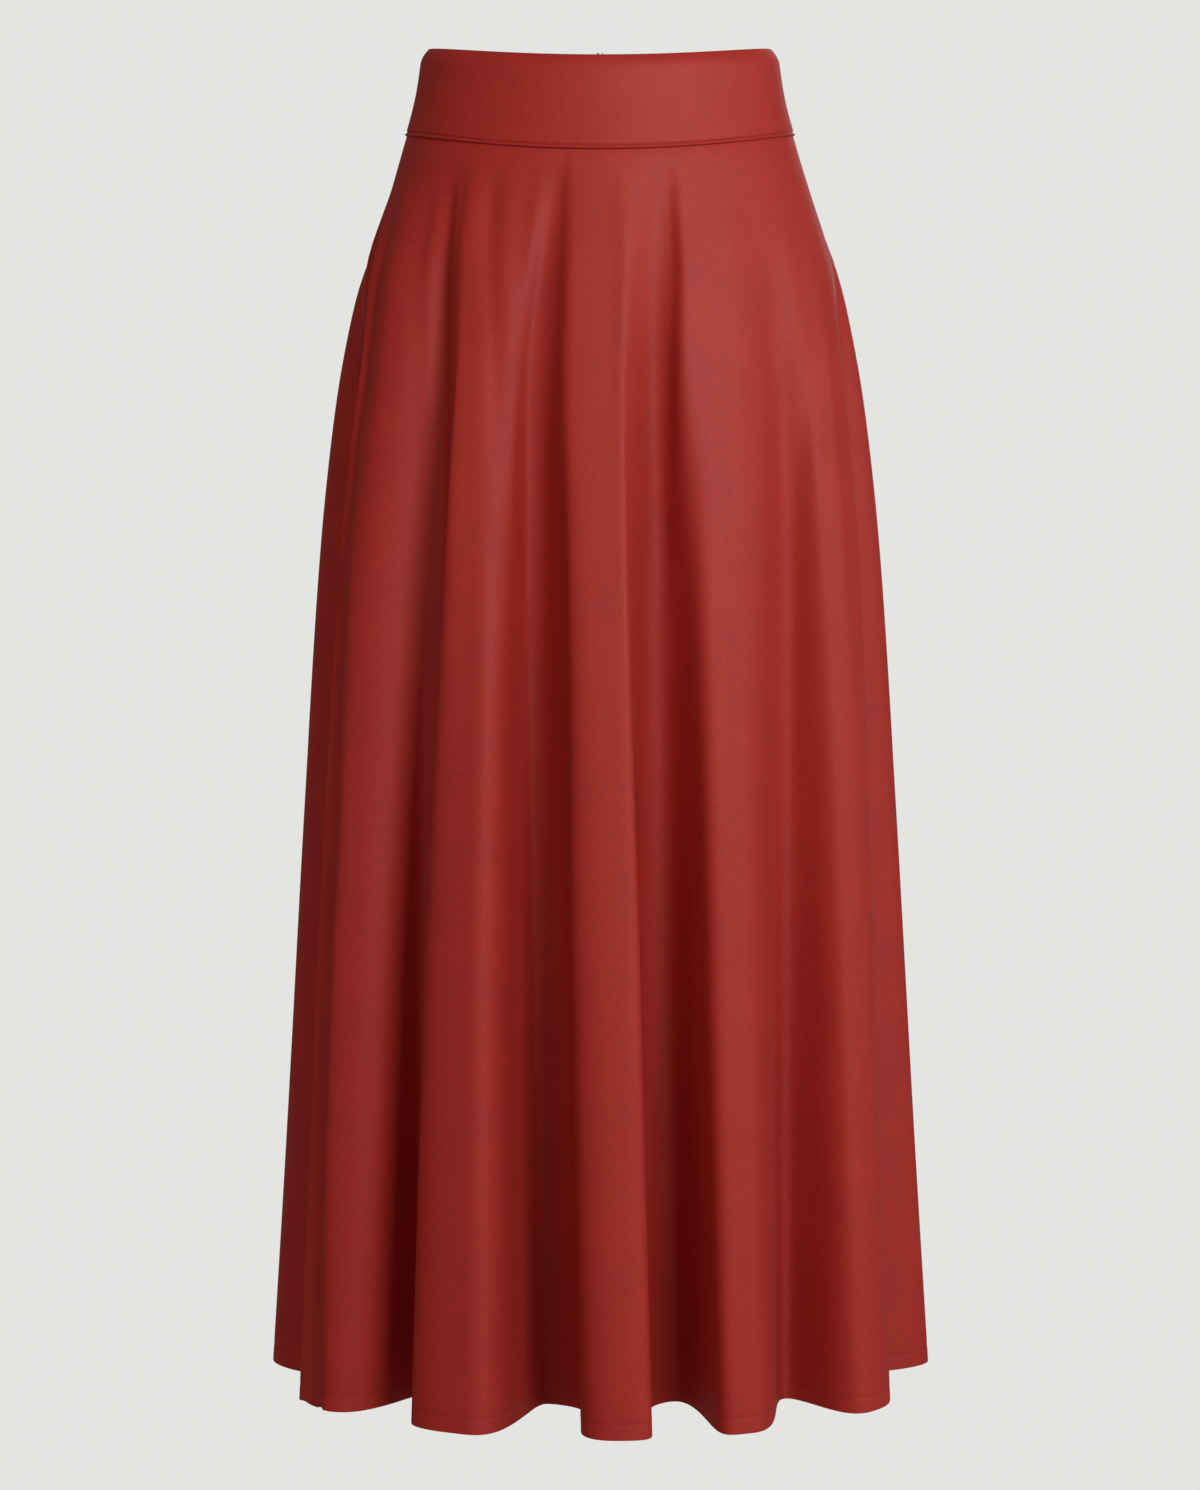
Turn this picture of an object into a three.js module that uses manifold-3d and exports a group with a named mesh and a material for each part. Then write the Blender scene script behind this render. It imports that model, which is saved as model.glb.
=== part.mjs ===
// Floor-length flared skirt, worn and hollow, in millimetres with +Z up.
// The origin is the centre of the waist opening, level with the top edge at the sides.
// The front of the skirt faces -Y and the wearer's right side is at -X.
import * as THREE from 'three';
import { mergeVertices } from 'three/addons/utils/BufferGeometryUtils.js';
import Module from 'manifold-3d';

const wasm = await Module();
wasm.setup();

// Driving dimensions
const HEM_Z = -988;
const HIP_Z = -256;
const WAIST_Z = -70;
const SEAM_GAP = 0.3;
const CLOTH_THICKNESS = 1.2;
const HEM_TURN_THICKNESS = 1.9;
const BAND_THICKNESS = 2.6;
const BAND_PROUD = 1.2;
const BAND_TOP_DIP = 8.6;
const BAND_SEAM_SIDE_Z = -63;
const BAND_SEAM_DIP = 13;
const BAND_BACK_LIFT = 3;
const BAND_ROLL_IN = 3.6;
const BAND_ROLL_HEIGHT = 9;
const COLUMNS_PER_FLUTE = 10;
const SKIRT_ROWS = 15;
const SKIRT_ROW_BIAS = 1.25;
const BAND_ROWS = 5;
const BAND_ROW_BIAS = 1.4;
const ZIP_NECK_HALF_GAP = 1.4;

// Smooth outline through the crests of the folds: half width at the sides, and the
// reach of the front and of the back from the middle, at each height.
const OUTLINE = [
  { z: 0, side: 129, front: 92, back: 92 },
  { z: -35, side: 134.5, front: 97, back: 98 },
  { z: -68, side: 143.5, front: 105, back: 107 },
  { z: -117, side: 159, front: 116, back: 124 },
  { z: -153, side: 172.5, front: 125, back: 134 },
  { z: -190, side: 182.5, front: 133, back: 142 },
  { z: -263, side: 196, front: 145, back: 153 },
  { z: -375, side: 209, front: 158, back: 166 },
  { z: -562, side: 223, front: 175, back: 182 },
  { z: -829, side: 239.5, front: 195, back: 200 },
  { z: -988, side: 249.5, front: 206, back: 207 },
];

// One row for each flute, going round from the wearer's right by way of the front.
// crest and furrow: degrees from the front at waist, hip and hem; the furrow follows its crest.
// depth: how far the furrow goes in at the hem; start: the height at which it begins.
// lean: how far the furrow's two walls lean over it, in degrees, beside this crest and
// beside the next one. reach: how much of the outline the crest fills.
const FLUTES = [
  { crest: [-136, -94, -96], furrow: [-124, -73, -70], depth: 80, start: -112, lean: [3.2, 4.6], reach: 1 },
  { crest: [-76, -50, -52.5], furrow: [-47, -35, -42], depth: 86, start: -95, lean: [2.2, 3.6], reach: 0.985 },
  { crest: [-25, -22.5, -25.5], furrow: [-10, -8.2, -10], depth: 104, start: -86, lean: [2.8, 3.2], reach: 0.99 },
  { crest: [1, 1, 2.5], furrow: [18, 15.5, 13], depth: 102, start: -88, lean: [3.6, 3.4], reach: 1 },
  { crest: [34, 28.5, 22.5], furrow: [54, 46, 38], depth: 76, start: -112, lean: [3.4, 2], reach: 0.985 },
  { crest: [76, 59, 52], furrow: [105, 76, 71], depth: 80, start: -118, lean: [4.8, 3.6], reach: 0.99 },
  { crest: [122, 94, 96], furrow: [132, 107, 107], depth: 82, start: -120, lean: [3.4, 3.2], reach: 1 },
  { crest: [142, 121, 119], furrow: [151, 133, 131], depth: 90, start: -128, lean: [3.6, 3.2], reach: 0.985 },
  { crest: [160, 146, 144], furrow: [166, 156, 155], depth: 97, start: -116, lean: [3, 3.4], reach: 1 },
  { crest: [172, 167, 167], furrow: [180, 180, 180], depth: 96, start: -124, lean: [3.4, 3.4], reach: 0.99 },
  { crest: [188, 193, 193.5], furrow: [195, 205, 206], depth: 99, start: -112, lean: [3.4, 3], reach: 1 },
  { crest: [202, 216, 218], furrow: [208, 228, 230], depth: 92, start: -130, lean: [3.2, 3.6], reach: 0.985 },
  { crest: [213, 241, 242], furrow: [218, 253, 253], depth: 84, start: -118, lean: [3.2, 3.4], reach: 1 },
];

// Places round the skirt are counted in flutes: a whole number is a crest and a half is a furrow.
const SIDE_SEAM_RIGHT = 0.86;
const SIDE_SEAM_LEFT = 5.24;
const CENTRE_BACK = 9.5;
const FOLD_SOFT_START = 0.06;

// The pocket hangs inside the side seam on the wearer's right, on the skirt's own rows.
// Its front edge reaches forward by so many degrees, and below the mouth its rear edge swings
// forward too.
const POCKET = { topRow: 1, bottomRow: 6, mouthEnd: -255, forward: 44, rearSwing: 16 };
const POCKET_CLEARANCE = 4;
const POCKET_THICKNESS = 2.4;
const POCKET_COLUMNS = 8;
const POCKET_TURN_IN = 0.35;

// Concealed zip in the centre-back seam: two tapes inside, a slider at the top and its pull.
const TAPE = { width: 11, thickness: 0.9, depth: 2.9, firstBandRow: 1, lastSkirtRow: 4, columns: 3 };
const ZIP_SLOT_HALF = 1.2;
const SLIDER = {
  middle: -10, length: 9, plateWidth: 5, plate: 1, neckWidth: 1.8, innerWidth: 8, innerPlate: 1.6,
};
const BRIDGE = { width: 1.4, bar: 0.8, hollow: 1.5, halfLength: 3 };
const PULL = {
  thickness: 0.9, bar: 0.9, eyeHalf: 1.2, eyeEnd: 3.9, headHalf: 2.1, waistHalf: 1.5, tipHalf: 2.7, length: 21,
};
const ROUND_STEPS = 6;
const ROUND_HANDLE = 0.55;

const CLOTH = { color: 0x9c3330, roughness: 0.85, metalness: 0 };
const POCKETING = { color: 0x8f2f2b, roughness: 0.9, metalness: 0 };
const ZIP_TAPE = { color: 0x7c2421, roughness: 0.8, metalness: 0 };
const ZIP_METAL = { color: 0x7a2826, roughness: 0.45, metalness: 0.4 };

const mix = (a, b, t) => a + (b - a) * t;
const clamp01 = (t) => Math.min(1, Math.max(0, t));
const radians = THREE.MathUtils.degToRad;

/** Smooth value of one column of the outline table at height z. */
function outlineAt(column, z) {
  const last = OUTLINE.length - 1;
  let i = OUTLINE.findIndex((row) => row.z <= z) - 1;
  if (i < 0) i = z > 0 ? 0 : last - 1;
  const slope = (k) => {
    const above = OUTLINE[Math.max(k - 1, 0)];
    const below = OUTLINE[Math.min(k + 1, last)];
    return (below[column] - above[column]) / (below.z - above.z);
  };
  const [p, q] = [OUTLINE[i], OUTLINE[i + 1]];
  const span = q.z - p.z;
  const t = (z - p.z) / span;
  const [t2, t3] = [t * t, t * t * t];
  return p[column] * (2 * t3 - 3 * t2 + 1) + slope(i) * span * (t3 - 2 * t2 + t)
    + q[column] * (3 * t2 - 2 * t3) + slope(i + 1) * span * (t3 - t2);
}

/** Angle at height z from its values at waist, hip and hem. */
function angleAt([waist, hip, hem], z) {
  const lower = clamp01((HIP_Z - z) / (HIP_Z - HEM_Z));
  const upper = clamp01((z - HIP_Z) / (WAIST_Z - HIP_Z));
  return mix(hip, hem, lower) + (waist - hip) * upper * upper;
}

/** How far a furrow has grown at height z, from 0 at its start to 1 at the hem. */
function growth(flute, z) {
  const t = Math.max(0, (flute.start - z) / (flute.start - HEM_Z));
  return t * t * (1 + FOLD_SOFT_START) / (t + FOLD_SOFT_START);
}

/** Point of the smooth outline at an angle in degrees from the front. */
function outlinePoint(degrees, z, reach = 1) {
  const angle = radians(degrees);
  const depth = outlineAt(Math.cos(angle) > 0 ? 'front' : 'back', z);
  const x = outlineAt('side', z) * Math.sin(angle) * reach;
  return new THREE.Vector3(x, -depth * Math.cos(angle) * reach, z);
}

/** Direction in which cloth is pushed into a furrow: squarer to the front than a radius. */
function inward(degrees) {
  const angle = radians(degrees);
  return new THREE.Vector3(-(Math.sin(angle) ** 3), Math.cos(angle), 0).normalize();
}

/** Angle in degrees, inset and reach of the cloth at a place round the skirt. */
function foldAt(place, z) {
  const count = FLUTES.length;
  const wrapped = ((place % count) + count) % count;
  const index = Math.floor(wrapped);
  const part = wrapped - index;
  const flute = FLUTES[index];
  const next = FLUTES[(index + 1) % count];
  const crest = angleAt(flute.crest, z);
  const furrow = angleAt(flute.furrow, z);
  const nextCrest = angleAt(next.crest, z) + (index === count - 1 ? 360 : 0);
  const grown = growth(flute, z);
  const lean = Math.min(1, grown * 1.6) * Math.sin(4 * Math.PI * part);
  const inset = flute.depth * grown * (1 - Math.cos(2 * Math.PI * part)) / 2;
  const falling = part < 0.5;
  const degrees = falling
    ? mix(crest, furrow, part * 2) + flute.lean[0] * lean
    : mix(furrow, nextCrest, part * 2 - 1) + flute.lean[1] * lean;
  const reach = mix(falling ? flute.reach : next.reach, 1, 1 - Math.abs(part * 2 - 1));
  return { degrees, inset, reach: mix(1, reach, grown) };
}

/** Point of the skirt's outer face at a place round it and a height. */
function skirtPoint(place, z) {
  const { degrees, inset, reach } = foldAt(place, z);
  return outlinePoint(degrees, z, reach).addScaledVector(inward(degrees), inset);
}

/** Outward normal of a surface given by a function of place and height. */
function normalOf(surface, place, z) {
  const step = 0.01;
  const across = surface(place + step, z).sub(surface(place - step, z));
  const down = surface(place, z - 1).sub(surface(place, z + 1));
  return down.cross(across).normalize();
}

/** Height of the seam under the band, and of the band's top edge, at an angle. */
function seamZ(degrees) {
  const c = Math.cos(radians(degrees));
  return BAND_SEAM_SIDE_Z + (c > 0 ? -BAND_SEAM_DIP : BAND_BACK_LIFT) * c * c;
}

function bandTopZ(degrees) {
  const c = Math.cos(radians(degrees));
  return (c > 0 ? -BAND_TOP_DIP : BAND_BACK_LIFT / 2) * c * c;
}

/** Closed mesh from outer and inner grids of points with the same rows and columns. */
function shell(outer, inner) {
  const rows = outer.length;
  const columns = outer[0].length;
  const positions = [...outer.flat(), ...inner.flat()].flatMap((p) => [p.x, p.y, p.z]);
  const index = [];
  const at = (layer, row, column) => (layer * rows + row) * columns + column;
  const quad = (a, b, c, d) => index.push(a, b, c, a, c, d);
  for (let r = 0; r < rows - 1; r += 1) {
    for (let c = 0; c < columns - 1; c += 1) {
      quad(at(0, r, c), at(0, r + 1, c), at(0, r + 1, c + 1), at(0, r, c + 1));
      quad(at(1, r, c), at(1, r, c + 1), at(1, r + 1, c + 1), at(1, r + 1, c));
    }
    quad(at(0, r, 0), at(1, r, 0), at(1, r + 1, 0), at(0, r + 1, 0));
    const edge = columns - 1;
    quad(at(0, r, edge), at(0, r + 1, edge), at(1, r + 1, edge), at(1, r, edge));
  }
  for (let c = 0; c < columns - 1; c += 1) {
    quad(at(0, 0, c), at(0, 0, c + 1), at(1, 0, c + 1), at(1, 0, c));
    const hem = rows - 1;
    quad(at(0, hem, c), at(1, hem, c), at(1, hem, c + 1), at(0, hem, c + 1));
  }
  const geometry = new THREE.BufferGeometry();
  geometry.setAttribute('position', new THREE.Float32BufferAttribute(positions, 3));
  geometry.setIndex(index);
  return geometry;
}

/** Move the end points of a row of cloth back from its seams. */
function openSeams(row, halfGaps = [SEAM_GAP / 2, SEAM_GAP / 2]) {
  const last = row.length - 1;
  const ends = [[0, 1], [last, last - 1]];
  ends.forEach(([end, beside], side) => {
    row[end].add(row[beside].clone().sub(row[end]).setLength(halfGaps[side]));
  });
}

/** Grid of points: one row for each height step, one point for each place. */
function grid(rows, places, pointAt) {
  return Array.from({ length: rows + 1 }, (_, r) => places.map((place) => pointAt(r / rows, place)));
}

/** Places from one seam to the next, with one on each crest and furrow. */
function placesBetween(from, to) {
  const inner = [];
  const [first, last] = [Math.ceil(from * COLUMNS_PER_FLUTE + 0.3), to * COLUMNS_PER_FLUTE - 0.3];
  for (let k = first; k < last; k += 1) inner.push(k / COLUMNS_PER_FLUTE);
  return [from, ...inner, to];
}

/** Height of the cloth at a place and at v, which runs from 0 at the band's seam to 1 at the hem. */
function panelZ(v, place) {
  const top = seamZ(foldAt(place, WAIST_Z).degrees) - SEAM_GAP / 2;
  return mix(top, HEM_Z, v ** SKIRT_ROW_BIAS);
}

/** One panel of the skirt between two seams, from the band's seam to the hem. */
function skirtPanel(from, to) {
  const places = placesBetween(from, to);
  const outer = grid(SKIRT_ROWS, places, (v, place) => skirtPoint(place, panelZ(v, place)));
  const inner = grid(SKIRT_ROWS, places, (v, place) => {
    const z = panelZ(v, place);
    const thickness = v === 1 ? HEM_TURN_THICKNESS : CLOTH_THICKNESS;
    const flat = normalOf(skirtPoint, place, z).setZ(0).normalize();
    return skirtPoint(place, z).addScaledVector(flat, -thickness);
  });
  [...outer, ...inner].forEach((row) => openSeams(row));
  return shell(outer, inner);
}

/** Height on the band at an angle and at v, which runs from 0 at the top edge to 1 at the seam. */
function bandZ(v, degrees) {
  return mix(bandTopZ(degrees), seamZ(degrees) + SEAM_GAP / 2, v ** BAND_ROW_BIAS);
}

/** Point of the band's outer face at a height, or so far inside it. */
function bandPoint(place, z, depth = 0) {
  const { degrees } = foldAt(place, WAIST_Z);
  const fromTop = bandTopZ(degrees) - z;
  const rolled = BAND_ROLL_IN * Math.max(0, 1 - fromTop / BAND_ROLL_HEIGHT) ** 2;
  const outward = new THREE.Vector3(Math.sin(radians(degrees)), -Math.cos(radians(degrees)), 0);
  return outlinePoint(degrees, z).addScaledVector(outward, BAND_PROUD - rolled - depth);
}

/** Half gaps at the two ends of a band row: an end on the zip parts round the slider's neck. */
function bandGaps(from, to, row) {
  const beside = row < BAND_ROWS / 2 ? ZIP_NECK_HALF_GAP : SEAM_GAP / 2;
  return [from, to].map((end) => (end === CENTRE_BACK ? beside : SEAM_GAP / 2));
}

/** One piece of the waistband between two seams. */
function bandPiece(from, to) {
  const places = placesBetween(from, to);
  const heightAt = (v, place) => bandZ(v, foldAt(place, WAIST_Z).degrees);
  const outer = grid(BAND_ROWS, places, (v, place) => bandPoint(place, heightAt(v, place)));
  const inner = grid(BAND_ROWS, places, (v, place) => bandPoint(place, heightAt(v, place), BAND_THICKNESS));
  for (const layer of [outer, inner]) layer.forEach((row, r) => openSeams(row, bandGaps(from, to, r)));
  return shell(outer, inner);
}

/** Flat bag of the pocket, from the side seam forward, behind the deepest furrow above it. */
function pocketBag() {
  const bottom = panelZ(POCKET.bottomRow / SKIRT_ROWS, SIDE_SEAM_RIGHT);
  const pointAt = (v, part, depth) => {
    const z = panelZ(mix(POCKET.topRow, POCKET.bottomRow, v) / SKIRT_ROWS, SIDE_SEAM_RIGHT);
    const seam = foldAt(SIDE_SEAM_RIGHT, z);
    const belowMouth = clamp01((POCKET.mouthEnd - z) / (POCKET.mouthEnd - bottom));
    const rear = POCKET.rearSwing * belowMouth;
    const forward = POCKET.forward * Math.sin(mix(0.35, 2.45, v));
    const furrow = FLUTES[1].depth * growth(FLUTES[1], z) + POCKET_CLEARANCE;
    const behindSeam = seam.inset + CLOTH_THICKNESS + SEAM_GAP;
    const turned = THREE.MathUtils.smoothstep(rear / POCKET.forward + part, 0, POCKET_TURN_IN);
    const inset = mix(behindSeam, furrow, turned) + depth;
    const degrees = seam.degrees + mix(rear, forward, part);
    return outlinePoint(degrees, z).addScaledVector(inward(degrees), inset);
  };
  const rows = POCKET.bottomRow - POCKET.topRow;
  const parts = Array.from({ length: POCKET_COLUMNS + 1 }, (_, c) => c / POCKET_COLUMNS);
  const outer = grid(rows, parts, (v, part) => pointAt(v, part, 0));
  const inner = grid(rows, parts, (v, part) => pointAt(v, part, POCKET_THICKNESS));
  return shell(outer, inner);
}

/** Point behind the centre-back cloth, across millimetres to the side of the seam. */
function behindBackSeam(across, z, depth) {
  const onBand = z > seamZ(180);
  const face = (place) => (onBand ? bandPoint(place, z) : skirtPoint(place, z));
  const step = 0.05;
  const perPlace = face(CENTRE_BACK + step).distanceTo(face(CENTRE_BACK - step)) / (2 * step);
  const point = face(CENTRE_BACK + across / perPlace);
  return point.setY(point.y - depth + (onBand ? 0 : BAND_PROUD));
}

/** Tape on one side of the zip: side is 1 or -1. */
function zipTape(side) {
  const edges = Array.from({ length: TAPE.columns + 1 }, (_, c) => {
    const across = ZIP_SLOT_HALF + TAPE.width * c / TAPE.columns;
    return side * across;
  });
  if (side < 0) edges.reverse();
  const heights = [];
  for (let r = TAPE.firstBandRow; r < BAND_ROWS; r += 1) heights.push(bandZ(r / BAND_ROWS, 180));
  for (let r = 0; r <= TAPE.lastSkirtRow; r += 1) heights.push(panelZ(r / SKIRT_ROWS, CENTRE_BACK));
  const layer = (depth) => heights.map((z) => edges.map((across) => behindBackSeam(across, z, depth)));
  return shell(layer(TAPE.depth), layer(TAPE.depth + TAPE.thickness));
}

/** Solid of an extruded shape, centred along its depth, for joining. */
function prism(shape, depth) {
  const geometry = new THREE.ExtrudeGeometry(shape, { depth, bevelEnabled: false, curveSegments: ROUND_STEPS });
  geometry.translate(0, 0, -depth / 2);
  return geometry;
}

function toManifold(geometry) {
  const bare = geometry.clone();
  bare.deleteAttribute('normal');
  bare.deleteAttribute('uv');
  const merged = mergeVertices(bare);
  return new wasm.Manifold(new wasm.Mesh({
    numProp: 3,
    vertProperties: new Float32Array(merged.attributes.position.array),
    triVerts: new Uint32Array(merged.index.array),
  }));
}

function fromManifold(solid) {
  const { vertProperties, triVerts } = solid.getMesh();
  const geometry = new THREE.BufferGeometry();
  geometry.setAttribute('position', new THREE.Float32BufferAttribute(vertProperties, 3));
  geometry.setIndex(Array.from(triVerts));
  return geometry;
}

/** Shape through corner points given as [x, y] pairs. */
function polygon(corners) {
  return new THREE.Shape(corners.map(([x, y]) => new THREE.Vector2(x, y)));
}

// Across the slider, y is outward from the band's outer face and z runs up the cloth.
const PLATE_INNER_Y = SEAM_GAP;
const PLATE_OUTER_Y = PLATE_INNER_Y + SLIDER.plate;
const TAPE_BACK_Y = -(TAPE.depth + TAPE.thickness + SEAM_GAP);
const PULL_AXIS_Y = PLATE_OUTER_Y + BRIDGE.hollow / 2;

/** Slider: an outer plate and an inner plate joined by a neck through the seam, and a bridge. */
function zipSlider() {
  const [plate, neck, inner] = [SLIDER.plateWidth / 2, SLIDER.neckWidth / 2, SLIDER.innerWidth / 2];
  const innerBack = TAPE_BACK_Y - SLIDER.innerPlate;
  const body = prism(polygon([
    [-plate, PLATE_OUTER_Y], [-plate, PLATE_INNER_Y], [-neck, PLATE_INNER_Y], [-neck, TAPE_BACK_Y],
    [-inner, TAPE_BACK_Y], [-inner, innerBack], [inner, innerBack], [inner, TAPE_BACK_Y],
    [neck, TAPE_BACK_Y], [neck, PLATE_INNER_Y], [plate, PLATE_INNER_Y], [plate, PLATE_OUTER_Y],
  ]), SLIDER.length);
  const foot = PLATE_OUTER_Y - SLIDER.plate / 2;
  const hollowTop = PLATE_OUTER_Y + BRIDGE.hollow;
  const top = hollowTop + BRIDGE.bar;
  const [end, inside] = [BRIDGE.halfLength, BRIDGE.halfLength - BRIDGE.bar];
  const bridge = prism(polygon([
    [-end, foot], [-inside, foot], [-inside, hollowTop], [inside, hollowTop], [inside, foot], [end, foot],
    [end, hollowTop], [inside, top], [-inside, top], [-end, hollowTop],
  ]), BRIDGE.width);
  bridge.rotateY(-Math.PI / 2);
  return fromManifold(toManifold(body).add(toManifold(bridge)));
}

/** Pull: a flat drop with an eye whose bar runs under the bridge. */
function zipPull() {
  const drop = new THREE.Shape();
  const barTop = PULL.bar / 2;
  const shoulder = -PULL.eyeEnd - PULL.bar;
  const tipCentre = PULL.tipHalf - PULL.length;
  const swell = 4;
  const round = PULL.tipHalf * ROUND_HANDLE;
  drop.moveTo(-PULL.headHalf, barTop);
  drop.lineTo(-PULL.headHalf, shoulder);
  drop.bezierCurveTo(-PULL.waistHalf, shoulder - swell, -PULL.tipHalf, tipCentre + swell, -PULL.tipHalf, tipCentre);
  drop.bezierCurveTo(-PULL.tipHalf, tipCentre - round, -round, -PULL.length, 0, -PULL.length);
  drop.bezierCurveTo(round, -PULL.length, PULL.tipHalf, tipCentre - round, PULL.tipHalf, tipCentre);
  drop.bezierCurveTo(PULL.tipHalf, tipCentre + swell, PULL.waistHalf, shoulder - swell, PULL.headHalf, shoulder);
  drop.lineTo(PULL.headHalf, barTop);
  const [half, barBottom] = [PULL.eyeHalf, -PULL.bar / 2];
  drop.holes.push(new THREE.Path([
    new THREE.Vector2(-half, barBottom), new THREE.Vector2(half, barBottom),
    new THREE.Vector2(half, -PULL.eyeEnd), new THREE.Vector2(-half, -PULL.eyeEnd),
  ]));
  const geometry = prism(drop, PULL.thickness);
  geometry.rotateX(Math.PI / 2);
  return geometry;
}

/** Group that lies on the band at the middle of the slider, tilted with the cloth. */
function sliderFrame() {
  const face = (z) => behindBackSeam(0, z, 0);
  const [above, below] = [SLIDER.length / 2, -SLIDER.length / 2].map((dz) => face(SLIDER.middle + dz));
  const frame = new THREE.Group();
  frame.position.copy(face(SLIDER.middle));
  frame.rotation.x = Math.atan2(below.y - above.y, above.z - below.z);
  return frame;
}

const CLOTH_PANELS = {
  waistband_front: bandPiece(SIDE_SEAM_RIGHT, SIDE_SEAM_LEFT),
  waistband_back_left: bandPiece(SIDE_SEAM_LEFT, CENTRE_BACK),
  waistband_back_right: bandPiece(CENTRE_BACK, SIDE_SEAM_RIGHT + FLUTES.length),
  skirt_front: skirtPanel(SIDE_SEAM_RIGHT, SIDE_SEAM_LEFT),
  skirt_back_left: skirtPanel(SIDE_SEAM_LEFT, CENTRE_BACK),
  skirt_back_right: skirtPanel(CENTRE_BACK, SIDE_SEAM_RIGHT + FLUTES.length),
};

/** Add a named mesh with its own material to a group. */
function addPiece(group, name, geometry, finish) {
  const mesh = new THREE.Mesh(geometry, new THREE.MeshStandardMaterial(finish));
  mesh.name = name;
  group.add(mesh);
  return mesh;
}

const skirt = new THREE.Group();
for (const [name, geometry] of Object.entries(CLOTH_PANELS)) addPiece(skirt, name, geometry, CLOTH);
addPiece(skirt, 'pocket_bag', pocketBag(), POCKETING);
addPiece(skirt, 'zip_tape_left', zipTape(-1), ZIP_TAPE);
addPiece(skirt, 'zip_tape_right', zipTape(1), ZIP_TAPE);

const slider = sliderFrame();
addPiece(slider, 'zip_slider', zipSlider(), ZIP_METAL);
addPiece(slider, 'zip_pull', zipPull(), ZIP_METAL).position.y = PULL_AXIS_Y;
skirt.add(slider);

export default skirt;
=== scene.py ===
"""Floor-length flared skirt, worn and hollow: cloth, sewing, zip, light and camera.

The frame is in metres with +Z up. The origin is the centre of the waist opening, the front
of the skirt faces -Y and the wearer's right side is at -X. Tables are in millimetres.
"""
import functools
import logging
from dataclasses import dataclass
from enum import Enum
from math import ceil, cos, exp, hypot, pi, radians, sin
from typing import Callable, Sequence

import bmesh
import bpy
from mathutils import Matrix, Quaternion, Vector


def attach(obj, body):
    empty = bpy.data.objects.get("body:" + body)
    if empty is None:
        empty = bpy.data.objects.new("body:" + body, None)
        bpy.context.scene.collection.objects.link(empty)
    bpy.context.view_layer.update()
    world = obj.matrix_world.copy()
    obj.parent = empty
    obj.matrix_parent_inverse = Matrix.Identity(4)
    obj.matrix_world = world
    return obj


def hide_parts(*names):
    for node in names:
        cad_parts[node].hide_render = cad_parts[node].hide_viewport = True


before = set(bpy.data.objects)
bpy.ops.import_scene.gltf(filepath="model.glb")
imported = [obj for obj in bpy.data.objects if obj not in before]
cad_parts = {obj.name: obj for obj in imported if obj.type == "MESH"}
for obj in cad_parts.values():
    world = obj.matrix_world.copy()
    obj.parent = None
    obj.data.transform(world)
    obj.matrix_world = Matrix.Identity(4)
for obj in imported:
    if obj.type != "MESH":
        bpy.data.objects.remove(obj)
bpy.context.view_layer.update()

MM = 0.001
CUT_MAP = "cut"
RIM_ANGLE = radians(60)
BESIDE = 0.04
SAME_PLACE = 0.01
LOG = logging.getLogger("skirt")

Point = Callable[[float, float], Vector]
BMesh = bmesh.types.BMesh
Material = bpy.types.Material
Piece = bpy.types.Object
Socket = bpy.types.NodeSocket


def mix(a: float, b: float, t: float) -> float:
    """Value between a and b."""
    return a + (b - a) * t


def clamp01(t: float) -> float:
    """Value kept between 0 and 1."""
    return min(1.0, max(0.0, t))


def smooth(t: float) -> float:
    """Soft step from 0 to 1."""
    t = clamp01(t)
    return t * t * (3 - 2 * t)


def bell(t: float) -> float:
    """Soft hump, 1 in its middle."""
    return exp(-t * t)


class Body(Enum):
    """Bodies that a piece can ride on."""

    SKIRT = "skirt"
    PULL = "zip_pull_tab"


@dataclass(frozen=True)
class OutlineRow:
    """Half width and reach to front and back of the smooth outline at a height, in mm."""

    z: float
    side: float
    front: float
    back: float


@dataclass(frozen=True)
class Flute:
    """One flute and the furrow after it.

    crest and furrow are degrees from the front at waist, hip and hem, depth is how far the
    furrow goes in at the hem and start the height at which it begins. lean is how far its two
    walls lean over it in degrees, square how flat the two crests beside it stay before they
    turn into it, and reach how much of the outline the crest fills.
    """

    crest: tuple[float, float, float]
    furrow: tuple[float, float, float]
    depth: float
    start: float
    lean: tuple[float, float]
    square: tuple[float, float] = (0.4, 0.4)
    reach: float = 1.0


@dataclass(frozen=True)
class Crease:
    """A soft trough down the cloth, or a ridge where its depth is below nought.

    line holds height in mm, degrees from the front and depth in mm, from the top down. left
    and right are how far it spreads to each side in mm, and it ends at fade times that.
    """

    line: tuple[tuple[float, float, float], ...]
    left: float
    right: float
    fade: float = 2.6

    def inset(self, degrees: float, z: float, per_degree: float) -> float:
        """Depth at a point.

        Args:
            degrees: angle of the point from the front.
            z: height of the point in mm.
            per_degree: mm of cloth for each degree there.

        Returns:
            How far in mm the crease takes the cloth in.
        """
        if not self.line[-1][0] < z < self.line[0][0]:
            return 0.0
        below = next(k for k, row in enumerate(self.line) if row[0] <= z)
        upper, lower = self.line[below - 1], self.line[below]
        t = (upper[0] - z) / (upper[0] - lower[0])
        off = (degrees - mix(upper[1], lower[1], t)) * per_degree
        off /= self.left if off < 0 else self.right
        return mix(upper[2], lower[2], smooth(t)) * bell(off) if abs(off) < self.fade else 0.0


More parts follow.
